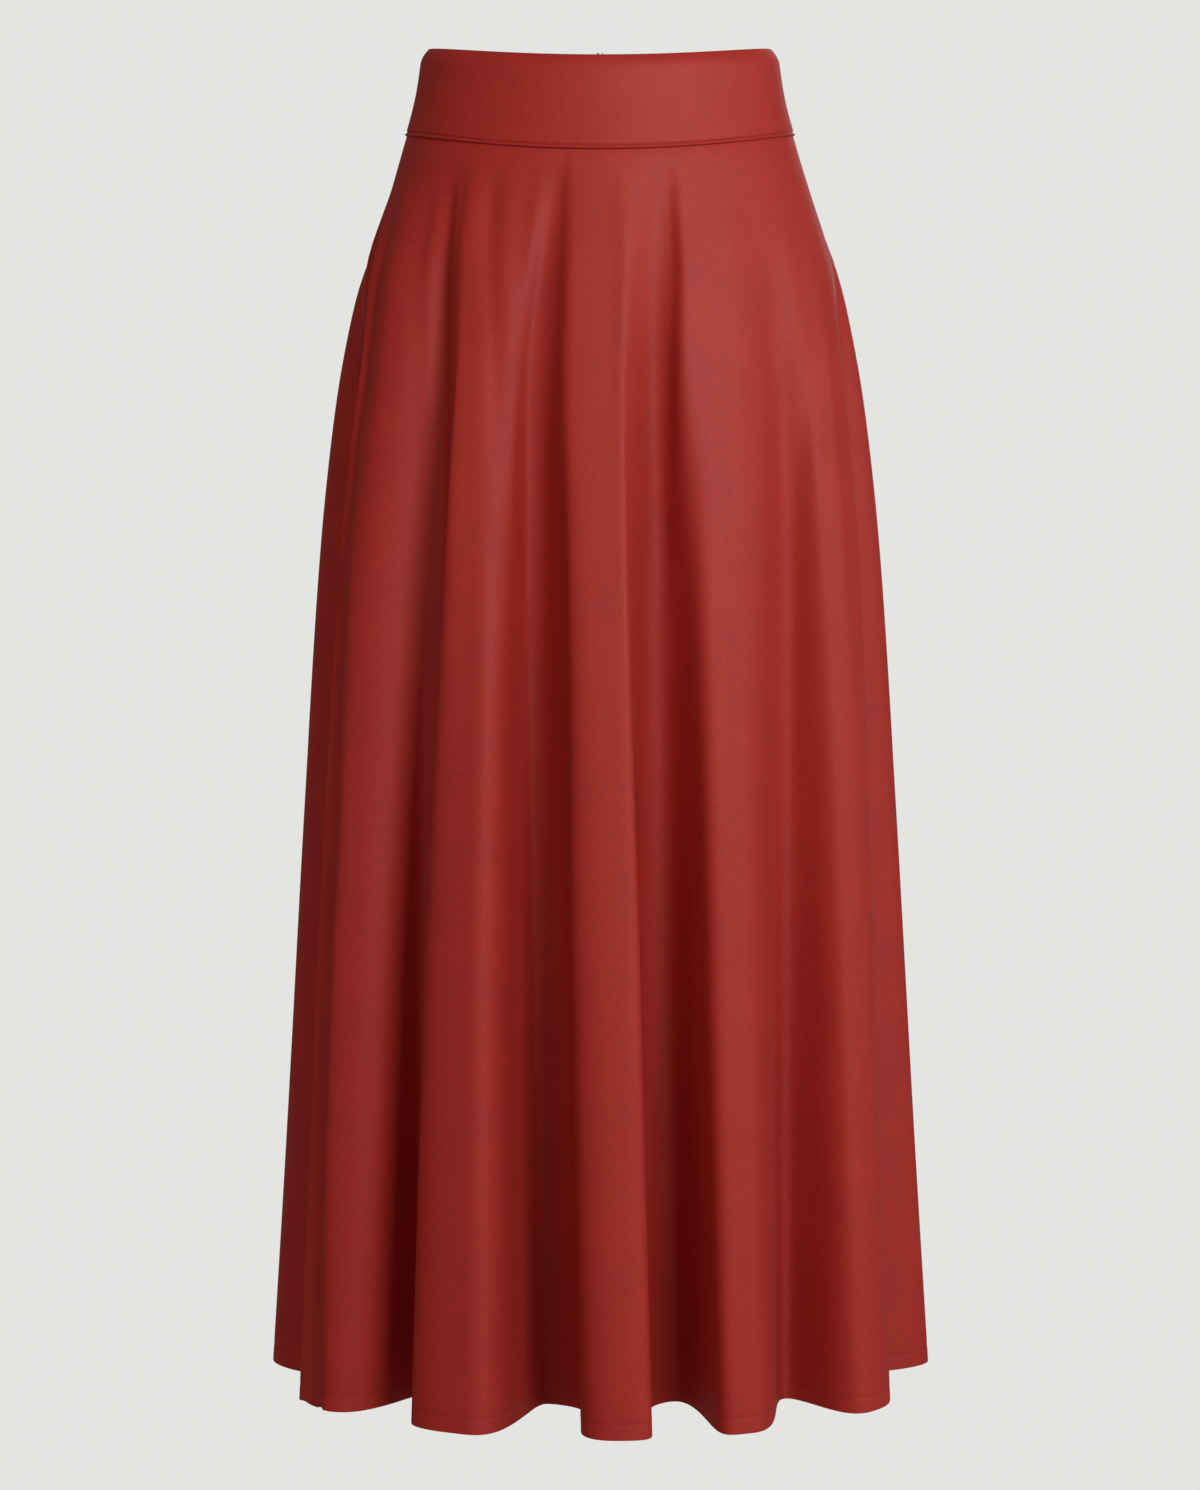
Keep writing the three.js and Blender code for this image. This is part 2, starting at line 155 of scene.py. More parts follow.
OUTLINE = (
    OutlineRow(0, 129, 92, 92),
    OutlineRow(-35, 134.5, 97, 98),
    OutlineRow(-68, 143.5, 105, 107),
    OutlineRow(-117, 159, 116, 124),
    OutlineRow(-153, 172.5, 125, 134),
    OutlineRow(-190, 182.5, 133, 142),
    OutlineRow(-263, 196, 145, 153),
    OutlineRow(-375, 209, 158, 166),
    OutlineRow(-562, 223, 175, 182),
    OutlineRow(-829, 240.8, 195, 200),
    OutlineRow(-988, 252, 206, 207),
)

FLUTES = (
    Flute((-136, -95, -97.5), (-124, -75, -66), 72, -112, (0, 4), (0, 1)),
    Flute((-76, -60, -56.5), (-47, -38.6, -38), 80, -95, (0, 5), (1.5, 0.1), 0.985),
    Flute((-25, -26, -25.4), (-10, -14.8, -8.8), 97, -86, (-0.4, 2.8), (1.6, 0.1), 0.985),
    Flute((1, -0.2, 3.4), (16, 10.6, 12.7), 101, -88, (2.4, 0.8), (0.6, 1), 0.99),
    Flute((34, 25, 25.6), (54, 43, 38), 72, -112, (0.3, 0.8), (0.2, 0.3), 0.99),
    Flute((76, 59, 52.6), (105, 77, 76), 68, -118, (3, 0), (0, 0.2)),
    Flute((122, 94, 96), (132, 107, 107), 82, -120, (3.4, 3.2)),
    Flute((142, 121, 119), (151, 133, 131), 90, -128, (3.6, 3.2), reach=0.985),
    Flute((160, 146, 144), (166, 156, 155), 97, -116, (3, 3.4)),
    Flute((172, 167, 167), (180, 180, 180), 96, -124, (3.4, 3.4), reach=0.99),
    Flute((188, 193, 193.5), (195, 205, 206), 99, -112, (3.4, 3)),
    Flute((202, 216, 218), (208, 228, 230), 92, -130, (3.2, 3.6), reach=0.985),
    Flute((213, 241, 242), (218, 253, 253), 84, -118, (3.2, 3.4)),
)

CREASES = (
    Crease(((-110, -80, 0), (-150, -75.4, 1.4), (-200, -73.4, 2.2), (-250, -70.3, 2.2), (-300, -68.7, 1.2),
            (-380, -66.5, 0)), 6, 6),
    Crease(((-95, -68, 0), (-130, -61, -2.2), (-182, -56.5, -4.2), (-254, -54.5, -4.2), (-330, -54, -3),
            (-430, -53, -1.4), (-560, -52, 0)), 14, 13),
    Crease(((-96, -53, 0), (-120, -51.2, 2), (-160, -48.6, 2), (-211, -45.3, 1.8), (-289, -43.6, 0.9),
            (-350, -42.5, 0)), 9, 6),
    Crease(((-90, -44, 0), (-112, -43, 2.8), (-140, -41, 3.8), (-182, -38.4, 6.4), (-253, -35.6, 7.4),
            (-324, -34, 6.8), (-430, -34, 4), (-555, -34.2, 2.6), (-700, -34.6, 0)), 12, 4),
    Crease(((-84, -37.6, 0), (-108, -37, -2), (-150, -35, -1.8), (-190, -33.6, -1.4), (-260, -32, -1.6),
            (-330, -31.5, -2.2), (-430, -31, -1.4), (-540, -31, 0)), 4, 11),
    Crease(((-115, -70, 0), (-150, -66.6, 1.4), (-182, -64.6, 2.4), (-250, -62, 2.6), (-300, -60.9, 2.2),
            (-380, -59.6, 0)), 3, 6),
    Crease(((-240, -61.5, 0), (-300, -60, -3), (-420, -57.8, -5), (-555, -57, -5.6), (-700, -57, -5.6),
            (-848, -55.8, -5), (-988, -53.6, -3.4)), 3.2, 13),
    Crease(((-330, -66, 0), (-420, -62.6, 2), (-555, -60.4, 2.6), (-700, -60, 2.6), (-848, -58.8, 2.6),
            (-988, -57.4, 2.2)), 5, 3.4),
    Crease(((-430, -35, 0), (-555, -35, 2.6), (-700, -34.6, 3), (-830, -35.6, 2.2), (-960, -36.6, 0)),
            10, 4),
    Crease(((-88, -30.4, 0), (-110, -29.4, 2.2), (-140, -27.5, 2), (-211, -23.7, 1.5), (-288, -21.9, 0.5),
            (-330, -21.5, 0)), 7, 7),
    Crease(((-82, -20.4, 0), (-110, -19.8, 0.8), (-182, -18.2, 0.9), (-253, -16.5, 0.6), (-330, -15.5, 0)),
            9, 6),
    Crease(((-90, -19, 0), (-110, -19, 0.8), (-182, -19, 3.2), (-255, -20.5, 6), (-340, -20.5, 4.4),
            (-480, -20, 0)), 14, 9),
    Crease(((-82, -11, 0), (-104, -10.7, 2.6), (-140, -10.2, 3.8), (-182, -9.9, 4.6), (-253, -10, 5.4),
            (-323, -10.8, 4.6), (-430, -10.6, 4), (-555, -10.4, 2), (-680, -10, 0)), 18, 5),
    Crease(((-82, 6, 0), (-130, 5.8, -0.9), (-288, 5.5, -1.2), (-533, 6.1, -1), (-700, 6.9, -0.6),
            (-900, 7.5, 0)), 7, 7),
    Crease(((-84, 18.6, 0), (-106, 18.3, 3), (-160, 17, 5.8), (-225, 15, 6.4), (-323, 13.9, 4.2),
            (-430, 13.2, 0)), 13, 5),
    Crease(((-240, 20, 0), (-323, 18.5, 1.6), (-430, 17.5, 2.4), (-560, 17, 1.6), (-700, 17, 0)), 12, 9),
    Crease(((-100, 36.8, 0), (-140, 33.8, -0.9), (-288, 28.5, -1.4), (-408, 27.6, -1.4), (-678, 27.8, -1),
            (-900, 27.4, -0.5), (-987, 27.3, -0.3)), 7, 6),
    Crease(((-105, 44, 0), (-140, 41.4, 0.9), (-253, 34.9, 1.1), (-366, 32.5, 0.6), (-430, 31.5, 0)),
            7, 7),
    Crease(((-100, 52, 0), (-140, 47.8, -0.6), (-253, 41.5, -1), (-367, 38, -0.6), (-440, 36, 0)), 7, 7),
    Crease(((-200, 53, 0), (-253, 49.5, 2.8), (-323, 47.5, 4), (-430, 45.6, 2.2), (-560, 43.5, 0)), 14, 7),
    Crease(((-130, 63.5, 0), (-182, 61.3, -1), (-254, 58.7, -1.8), (-326, 57.2, -1.9), (-540, 57.4, -1.4),
            (-836, 58.2, -1), (-987, 58.3, -0.6)), 8, 7),
    Crease(((-112, 84, 0), (-150, 78, 1.2), (-220, 72, 1.8), (-300, 69.5, 1), (-390, 67, 0)), 8, 7),
    Crease(((-100, 128, 0), (-150, 119, 1.7), (-230, 110, 2.6), (-320, 107, 1.4), (-410, 106, 0)), 7, 12),
    Crease(((-94, 148, 0), (-140, 141, 1.9), (-220, 134, 3.2), (-310, 131, 1.8), (-420, 130, 0)), 6, 13),
    Crease(((-92, 162, 0), (-150, 157, 1.9), (-240, 153.5, 2.8), (-340, 153, 1.2), (-430, 153, 0)), 6, 12),
    Crease(((-96, 171.5, 0), (-150, 170, 0.9), (-230, 168.4, 1), (-310, 168, 0)), 8, 8),
    Crease(((-90, 190.5, 0), (-130, 192, -0.8), (-290, 196, -1.1), (-560, 199, -0.8), (-880, 200, 0)),
            7, 7),
    Crease(((-94, 197, 0), (-150, 202, 1.9), (-230, 206, 3.2), (-330, 207, 1.6), (-430, 207, 0)), 13, 5),
    Crease(((-102, 208, 0), (-150, 214, 1.1), (-240, 218.5, 1.2), (-320, 220, 0)), 8, 8),
    Crease(((-98, 216, 0), (-150, 225, 1.9), (-230, 229, 3), (-330, 230.5, 1.6), (-430, 231, 0)), 12, 6),
    Crease(((-104, 230, 0), (-160, 242, 1.3), (-250, 249, 2.4), (-340, 252, 1.2), (-430, 253, 0)), 10, 7),
)


@dataclass
class SkirtForm:
    """The shape in which the cloth hangs, as functions of a place round it and a height.

    A place counts flutes: a whole number is a crest and a half is a furrow. Heights and
    lengths are in mm.
    """

    hem: float = -988
    hip: float = -256
    waist: float = -70
    seam_side: float = -63
    seam_dip: float = 13
    top_dip: float = 8.6
    back_lift: float = 3
    seam_gap: float = 0.3
    soft_start: float = 0.06
    lean_growth: float = 1.6
    turn_start: float = 0.375
    turn_length: float = 0.25
    pinch: float = 8.0
    pinch_drop: float = 130.0
    ease: float = 0.85
    first_angle: float = -100
    outline: Sequence[OutlineRow] = OUTLINE
    flutes: Sequence[Flute] = FLUTES
    creases: Sequence[Crease] = CREASES
    side_seam_right: float = 0.86
    side_seam_left: float = 5.24
    centre_back: float = 9.5

    def outline_at(self, column: str, z: float) -> float:
        """Smooth value of one column of the outline table.

        Args:
            column: side, front or back.
            z: height in mm.

        Returns:
            The half width or reach in mm.
        """
        rows, last = self.outline, len(self.outline) - 1
        i = next((k for k, row in enumerate(rows) if row.z <= z), last) - 1
        i = min(max(i, 0), last - 1)

        def slope(k: int) -> float:
            above, below = rows[max(k - 1, 0)], rows[min(k + 1, last)]
            return (getattr(below, column) - getattr(above, column)) / (below.z - above.z)

        p, q = rows[i], rows[i + 1]
        span = q.z - p.z
        t = (z - p.z) / span
        t2, t3 = t * t, t * t * t
        return (getattr(p, column) * (2 * t3 - 3 * t2 + 1) + slope(i) * span * (t3 - 2 * t2 + t)
                + getattr(q, column) * (3 * t2 - 2 * t3) + slope(i + 1) * span * (t3 - t2))

    def angle_at(self, keys: Sequence[float], z: float) -> float:
        """Angle in degrees at height z from its values at waist, hip and hem."""
        lower = clamp01((self.hip - z) / (self.hip - self.hem))
        upper = clamp01((z - self.hip) / (self.waist - self.hip))
        return mix(keys[1], keys[2], lower) + (keys[0] - keys[1]) * upper * upper

    def growth(self, flute: Flute, z: float) -> float:
        """How far a furrow has grown at height z, from 0 at its start to 1 at the hem."""
        t = max(0.0, (flute.start - z) / (flute.start - self.hem)) ** self.ease
        return t * t * (1 + self.soft_start) / (t + self.soft_start)

    def fold_at(self, place: float, z: float) -> tuple[float, float, float]:
        """Where the folds carry the cloth.

        Args:
            place: place round the skirt, counted in flutes.
            z: height in mm.

        Returns:
            Angle in degrees from the front, inset in mm and reach of the outline.
        """
        count = len(self.flutes)
        place %= count
        index = int(place)
        part = place - index
        flute, after = self.flutes[index], self.flutes[(index + 1) % count]
        crest = self.angle_at(flute.crest, z)
        furrow = self.angle_at(flute.furrow, z)
        next_crest = self.angle_at(after.crest, z) + (360 if index == count - 1 else 0)
        grown = self.growth(flute, z)
        lean = min(1.0, grown * self.lean_growth) * sin(4 * pi * part)
        square = mix(*flute.square, smooth((part - self.turn_start) / self.turn_length)) * grown
        narrow = 1 + square + self.pinch * exp(min(0, z - flute.start) / self.pinch_drop)
        inset = flute.depth * grown * ((1 - cos(2 * pi * part)) / 2) ** narrow
        if part < 0.5:
            degrees = mix(crest, furrow, part * 2) + flute.lean[0] * lean
        else:
            degrees = mix(furrow, next_crest, part * 2 - 1) + flute.lean[1] * lean
        reach = mix((flute if part < 0.5 else after).reach, 1, 1 - abs(part * 2 - 1))
        return degrees, inset, mix(1, reach, grown)

    def outline_point(self, degrees: float, z: float, reach: float = 1) -> Vector:
        """Point of the smooth outline in mm at an angle in degrees from the front."""
        angle = radians(degrees)
        depth = self.outline_at("front" if cos(angle) > 0 else "back", z)
        side = self.outline_at("side", z)
        return Vector((side * sin(angle) * reach, -depth * cos(angle) * reach, z))

    @staticmethod
    def inward(degrees: float) -> Vector:
        """Direction in which cloth is pushed into a furrow: squarer to the front than a radius."""
        angle = radians(degrees)
        return Vector((-sin(angle) ** 3, cos(angle), 0)).normalized()

    def inward_at(self, place: float, z: float) -> Vector:
        """Direction into the furrows at a place and height."""
        return self.inward(self.fold_at(place, z)[0])

    def crease_inset(self, degrees: float, z: float) -> float:
        """Depth in mm that the short soft creases add at an angle and height."""
        degrees = (degrees - self.first_angle) % 360 + self.first_angle
        angle = radians(degrees)
        side, front = self.outline_at("side", z), self.outline_at("front", z)
        per_degree = radians(hypot(side * cos(angle), front * sin(angle)))
        return sum(crease.inset(degrees, z, per_degree) for crease in self.creases)

    def skirt_point(self, place: float, z: float) -> Vector:
        """Point in mm of the skirt's outer face at a place round it and a height."""
        degrees, inset, reach = self.fold_at(place, z)
        inset += self.crease_inset(degrees, z)
        return self.outline_point(degrees, z, reach) + self.inward(degrees) * inset

    def waist_angle(self, place: float) -> float:
        """Angle in degrees of a place at the waist."""
        return self.fold_at(place, self.waist)[0]

    def seam_z(self, degrees: float) -> float:
        """Height of the seam under the band at an angle."""
        c = cos(radians(degrees))
        return self.seam_side + (-self.seam_dip if c > 0 else self.back_lift) * c * c

    def band_top_z(self, degrees: float) -> float:
        """Height of the band's top edge at an angle."""
        c = cos(radians(degrees))
        return (-self.top_dip if c > 0 else self.back_lift / 2) * c * c


def seam_places(start: float, end: float, per_flute: int) -> list[float]:
    """Places from one seam to the next, closer together beside the seams.

    Args:
        start: place of the first seam.
        end: place of the last seam.
        per_flute: columns for each flute away from the seams.

    Returns:
        The places, in order.
    """
    near, clear = (0.0, 0.006, 0.012, 0.02, 0.032), 0.4
    first = ceil((start + near[-1]) * per_flute + clear)
    last = ceil((end - near[-1]) * per_flute - clear)
    middle = [k / per_flute for k in range(first, last)]
    return [start + n for n in near] + middle + [end - n for n in reversed(near)]


def fractions(count: int) -> list[float]:
    """Even steps from 0 to 1."""
    return [k / count for k in range(count + 1)]


def to_mesh(name: str, bm: BMesh) -> bpy.types.Mesh:
    """Mesh data of a bmesh, which is used up."""
    mesh = bpy.data.meshes.new(name)
    bm.to_mesh(mesh)
    bm.free()
    return mesh


def add_object(name: str, data: bpy.types.ID) -> Piece:
    """Put an object with its data into the scene."""
    made = bpy.data.objects.new(name, data)
    bpy.context.collection.objects.link(made)
    return made


def add_piece(name: str, bm: BMesh, material: Material, body: Body = Body.SKIRT) -> Piece:
    """Make an object of a mesh, give it its material and let it ride on a body.

    Args:
        name: name of the piece.
        bm: the mesh in metres, which is used up.
        material: its finish.
        body: what it moves with.

    Returns:
        The piece.
    """
    for face in bm.faces:
        face.smooth = True
    mesh = to_mesh(name, bm)
    mesh.materials.append(material)
    piece = add_object(name, mesh)
    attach(piece, body.value)
    LOG.info("%s: %d faces", name, len(mesh.polygons))
    return piece


def bent_grid(columns: Sequence[float], rows: Sequence[float], point: Point, flat: Point) -> BMesh:
    """A grid bent to a surface, with its flat pattern as its UV map.

    Args:
        columns: one value for each column of points.
        rows: one value for each row of points, from the top down.
        point: gives a point in mm from a column's and a row's value.
        flat: gives the point's place in the flat cut in metres.

    Returns:
        The mesh in metres, its faces pointing outwards.
    """
    bm = bmesh.new()
    across, down = len(columns) - 1, len(rows) - 1
    bmesh.ops.create_grid(bm, x_segments=across, y_segments=down, size=0.5)
    uv = bm.loops.layers.uv.new(CUT_MAP)
    cut = {}
    for vert in bm.verts:
        column = columns[round((vert.co.x + 0.5) * across)]
        row = rows[round((0.5 - vert.co.y) * down)]
        cut[vert] = flat(column, row)
        vert.co = point(column, row) * MM
    for face in bm.faces:
        for loop in face.loops:
            loop[uv].uv = cut[loop.vert].xy
    bm.normal_update()
    return bm


def thicken(piece: Piece, thickness: float, rounding: float) -> None:
    """Give a sheet its wall, inwards, and round the wall's rim.

    Args:
        piece: the open sheet.
        thickness: the wall in mm.
        rounding: radius of the rim's edges in mm.
    """
    wall = piece.modifiers.new("wall", "SOLIDIFY")
    wall.thickness = thickness * MM
    wall.offset = -1
    edge = piece.modifiers.new("rim", "BEVEL")
    edge.width = rounding * MM
    edge.segments = 2
    edge.limit_method = "ANGLE"
    edge.angle_limit = RIM_ANGLE


@functools.cache
def bead_mesh() -> bpy.types.Mesh:
    """A coarse ball of radius 1, from which stitches and coil turns are copied."""
    bm = bmesh.new()
    bmesh.ops.create_uvsphere(bm, u_segments=6, v_segments=4, radius=1)
    return to_mesh("bead", bm)


def add_bead(bm: BMesh, middle: Vector, size: Vector,
             turn: Quaternion = Quaternion((1, 0, 0, 0))) -> None:
    """Add a long bead to a mesh.

    Args:
        bm: the mesh in metres.
        middle: its middle in mm.
        size: its three radii in mm.
        turn: how it is turned.
    """
    place = Matrix.LocRotScale(middle * MM, turn, size * MM)
    first = len(bm.verts)
    bm.from_mesh(bead_mesh())
    bm.verts.ensure_lookup_table()
    for vert in bm.verts[first:]:
        vert.co = place @ vert.co


def eased_back(point: Vector, beside: Vector, gap: float) -> Vector:
    """A point on a seam, moved towards the point beside it by half the seam's gap in mm."""
    return point + (beside - point).normalized() * gap


@dataclass(frozen=True)
class FlaredCut:
    """Flat cut of a flared panel, a sector of a ring, by its waist, hem and length in metres."""

    waist: float
    hem: float
    length: float

    @property
    def sweep(self) -> float:
        """Angle of the sector in radians."""
        return (self.hem - self.waist) / self.length

    @property
    def inner(self) -> float:
        """Radius of the waist's arc."""
        return self.waist / self.sweep

    @property
    def size(self) -> tuple[float, float]:
        """Width and height of the cloth that the sector is cut from."""
        outer = self.inner + self.length
        half = min(self.sweep / 2, pi / 2)
        return 2 * outer * sin(half), outer - self.inner * cos(half)

    @property
    def area(self) -> float:
        """Area of the sector in square metres."""
        return self.sweep / 2 * ((self.inner + self.length) ** 2 - self.inner ** 2)

    def place(self, across: float, down: float) -> Vector:
        """Point of the cut from fractions across it and down it, grain along its middle."""
        angle = (across - 0.5) * self.sweep
        radius = self.inner + self.length * down
        return Vector((radius * sin(angle), -radius * cos(angle), 0))


@dataclass(frozen=True)
class Colour:
    """A linear colour."""

    r: float
    g: float
    b: float

    @property
    def rgba(self) -> tuple[float, float, float, float]:
        """The colour for a socket."""
        return self.r, self.g, self.b, 1.0

    def scaled(self, k: float) -> "Colour":
        """The colour, k times as light."""
        return Colour(self.r * k, self.g * k, self.b * k)


class Nodes:
    """Short way to add and join shader nodes of one material."""

    def __init__(self, name: str) -> None:
        """Start a material with nothing but its output and its surface."""
        self.material = bpy.data.materials.new(name)
        self.material.use_nodes = True
        self.tree = self.material.node_tree
        self.surface = self.tree.nodes["Principled BSDF"]

    def add(self, kind: str, inputs: dict | None = None, **settings: object) -> bpy.types.Node:
        """Add a node.

        Args:
            kind: the node's type name.
            inputs: socket name or number to a value, or to a socket that feeds it.
            settings: the node's own settings.

        Returns:
            The node.
        """
        node = self.tree.nodes.new(kind)
        for key, value in settings.items():
            setattr(node, key, value)
        for key, value in (inputs or {}).items():
            if isinstance(value, Socket):
                self.tree.links.new(value, node.inputs[key])
            else:
                node.inputs[key].default_value = value
        return node

    def feed(self, name: str, source: Socket) -> None:
        """Join a socket to the surface."""
        self.tree.links.new(source, self.surface.inputs[name])

    def setting(self, **values: object) -> None:
        """Set sockets of the surface that are the same all over."""
        for key, value in values.items():
            self.surface.inputs[key.replace("_", " ")].default_value = value

    def cut(self) -> Socket:
        """Place in the flat cut."""
        return self.add("ShaderNodeUVMap", uv_map=CUT_MAP).outputs[0]

    def noise(self, place: Socket, scale: float, detail: float = 2.0) -> Socket:
        """Cloudy noise over a place."""
        return self.add("ShaderNodeTexNoise", {"Vector": place, "Scale": scale, "Detail": detail}).outputs[0]

    def spread(self, value: Socket, before: tuple[float, float], after: tuple[float, float]) -> Socket:
        """A value of one range, brought to another range."""
        return self.add("ShaderNodeMapRange", dict(enumerate((value, *before, *after)))).outputs[0]

    def shade(self, amount: Socket, colour: Colour, tones: tuple[float, float]) -> Socket:
        """A colour between its darker and its lighter tone."""
        dark, light = (colour.scaled(tone).rgba for tone in tones)
        return self.add("ShaderNodeMix", {0: amount, "A": dark, "B": light}, data_type="RGBA").outputs[2]

    def bump(self, height: Socket, strength: float, distance: float) -> None:
        """Raise the surface by a height of which distance in metres is the full measure."""
        relief = self.add("ShaderNodeBump", {"Height": height, "Strength": strength, "Distance": distance})
        self.feed("Normal", relief.outputs[0])


@dataclass(frozen=True)
class CrepeCloth:
    """Matte fine crepe: crossed threads, slubs, a soft mottle and a dry sheen."""

    name: str = "crepe_cloth"
    colour: Colour = Colour(0.395, 0.021, 0.014)
    tones: tuple[float, float] = (0.86, 1.13)
    thread: float = 0.0007
    slub: float = 0.12
    relief: float = 0.00025
    mottle: float = 22.0
    mottle_tones: tuple[float, float] = (0.95, 1.05)
    roughness: float = 0.62
    sheen: float = 0.04
    sheen_tint: Colour = Colour(0.9, 0.55, 0.5)

    def build(self) -> Material:
        """Make the material, whose threads follow the flat cut."""
        nodes = Nodes(self.name)
        cut = nodes.cut()
        across, along = 1 / self.thread, self.slub / self.thread
        ways = [nodes.add("ShaderNodeMapping", {"Vector": cut, "Scale": scale}).outputs[0]
                for scale in ((across, along, 1), (along, across, 1))]
        warp, weft = (nodes.noise(way, 1.0) for way in ways)
        threads = nodes.add("ShaderNodeMath", {0: warp, 1: weft}, operation="ADD").outputs[0]
        shade = nodes.shade(nodes.spread(threads, (0.7, 1.3), (0.0, 1.0)), self.colour, self.tones)
        mottle = nodes.spread(nodes.noise(cut, self.mottle, 4.0), (0.3, 0.7), self.mottle_tones)
        final = nodes.add("ShaderNodeVectorMath", {0: shade, "Scale": mottle}, operation="SCALE")
        nodes.feed("Base Color", final.outputs[0])
        nodes.bump(threads, 0.35, self.relief)
        nodes.setting(Roughness=self.roughness, Sheen_Weight=self.sheen, Sheen_Roughness=0.45,
                      Sheen_Tint=self.sheen_tint.rgba, Specular_IOR_Level=0.45)
        return nodes.material


@dataclass(frozen=True)
class SewingThread:
    """Matt sewing thread."""

    name: str = "sewing_thread"
    colour: Colour = Colour(0.14, 0.007, 0.005)
    tones: tuple[float, float] = (0.7, 1.3)
    twist: float = 2600.0

    def build(self) -> Material:
        """Make the material, with the thread's twist."""
        nodes = Nodes(self.name)
        place = nodes.add("ShaderNodeTexCoord").outputs["Object"]
        nodes.feed("Base Color", nodes.shade(nodes.noise(place, self.twist), self.colour, self.tones))
        nodes.setting(Roughness=0.7, Specular_IOR_Level=0.3)
        return nodes.material


@dataclass(frozen=True)
class TwillTape:
    """Thin woven cloth with a slanted rib, for the pocket bag and the zip's tapes."""

    name: str
    colour: Colour
    ribs: float
    tones: tuple[float, float] = (0.8, 1.0)
    relief: float = 0.0002

    def build(self) -> Material:
        """Make the material, whose ribs follow the flat cut."""
        nodes = Nodes(self.name)
        rib = nodes.add("ShaderNodeTexWave", {"Vector": nodes.cut(), "Scale": self.ribs, "Distortion": 0.6,
                                              "Detail": 2.0}, bands_direction="DIAGONAL").outputs[1]
        nodes.feed("Base Color", nodes.shade(rib, self.colour, self.tones))
        nodes.bump(rib, 0.4, self.relief)
        nodes.setting(Roughness=0.85, Specular_IOR_Level=0.2)
        return nodes.material


@dataclass(frozen=True)
class LacqueredMetal:
    """Cast zip metal under a coat of matching lacquer, a little uneven."""

    name: str = "lacquered_metal"
    colour: Colour = Colour(0.26, 0.014, 0.011)
    tones: tuple[float, float] = (0.85, 1.15)
    clouds: float = 900.0
    roughness: tuple[float, float] = (0.28, 0.42)

    def build(self) -> Material:
        """Make the material."""
        nodes = Nodes(self.name)
        place = nodes.add("ShaderNodeTexCoord").outputs["Object"]
        cloud = nodes.noise(place, self.clouds, 3.0)
        nodes.feed("Base Color", nodes.shade(cloud, self.colour, self.tones))
        nodes.feed("Roughness", nodes.spread(cloud, (0.3, 0.7), self.roughness))
        nodes.setting(Metallic=0.35, Coat_Weight=0.5, Coat_Roughness=0.2)
        return nodes.material


@dataclass(frozen=True)
class PocketSeam:
    """The side seam on the wearer's right: a ledge down the skirt and the pocket's slack mouth in it.

    The cloth in front of the seam stands as a soft lip over the cloth behind it. Lengths are
    in mm.
    """

    start: float = -78
    start_length: float = 60
    start_sink: float = 0.7
    top: float = -105
    bottom: float = -258
    front_lift: float = 2.2
    front_back_off: float = 1.4
    rear_sink: float = 8.0
    ledge_sink: float = 5.5
    ledge_lip: float = 2.4
    near: float = 1.7
    far: float = 13.0

    def slack(self, z: float) -> float:
        """How open the mouth is at a height, from 0 at its ends to 1."""
        along = (self.top - z) / (self.top - self.bottom)
        return sin(pi * along) ** 0.7 if 0 < along < 1 else 0.0

    def ledge(self, z: float) -> tuple[float, float]:
        """How far the ledge has formed at a height, from 0 to 1, and its depth in mm."""
        formed = smooth((self.start - z) / self.start_length)
        return formed, mix(self.start_sink, self.ledge_sink, formed)

    def rear_inset(self, distance: float, z: float) -> float:
        """How far in mm the cloth behind the seam lies in at a distance from it."""
        return mix(self.ledge(z)[1], self.rear_sink, self.slack(z)) * bell(distance / self.far)

    def front_inset(self, distance: float, z: float) -> float:
        """How far in mm the cloth before the seam lies in at a distance from it."""
        (formed, depth), slack = self.ledge(z), self.slack(z)
        sunk = depth * bell(distance / self.near) - self.ledge_lip * formed * bell(distance / self.near - 2)
        return sunk * (1 - slack) - self.front_lift * slack * bell(distance / self.far)


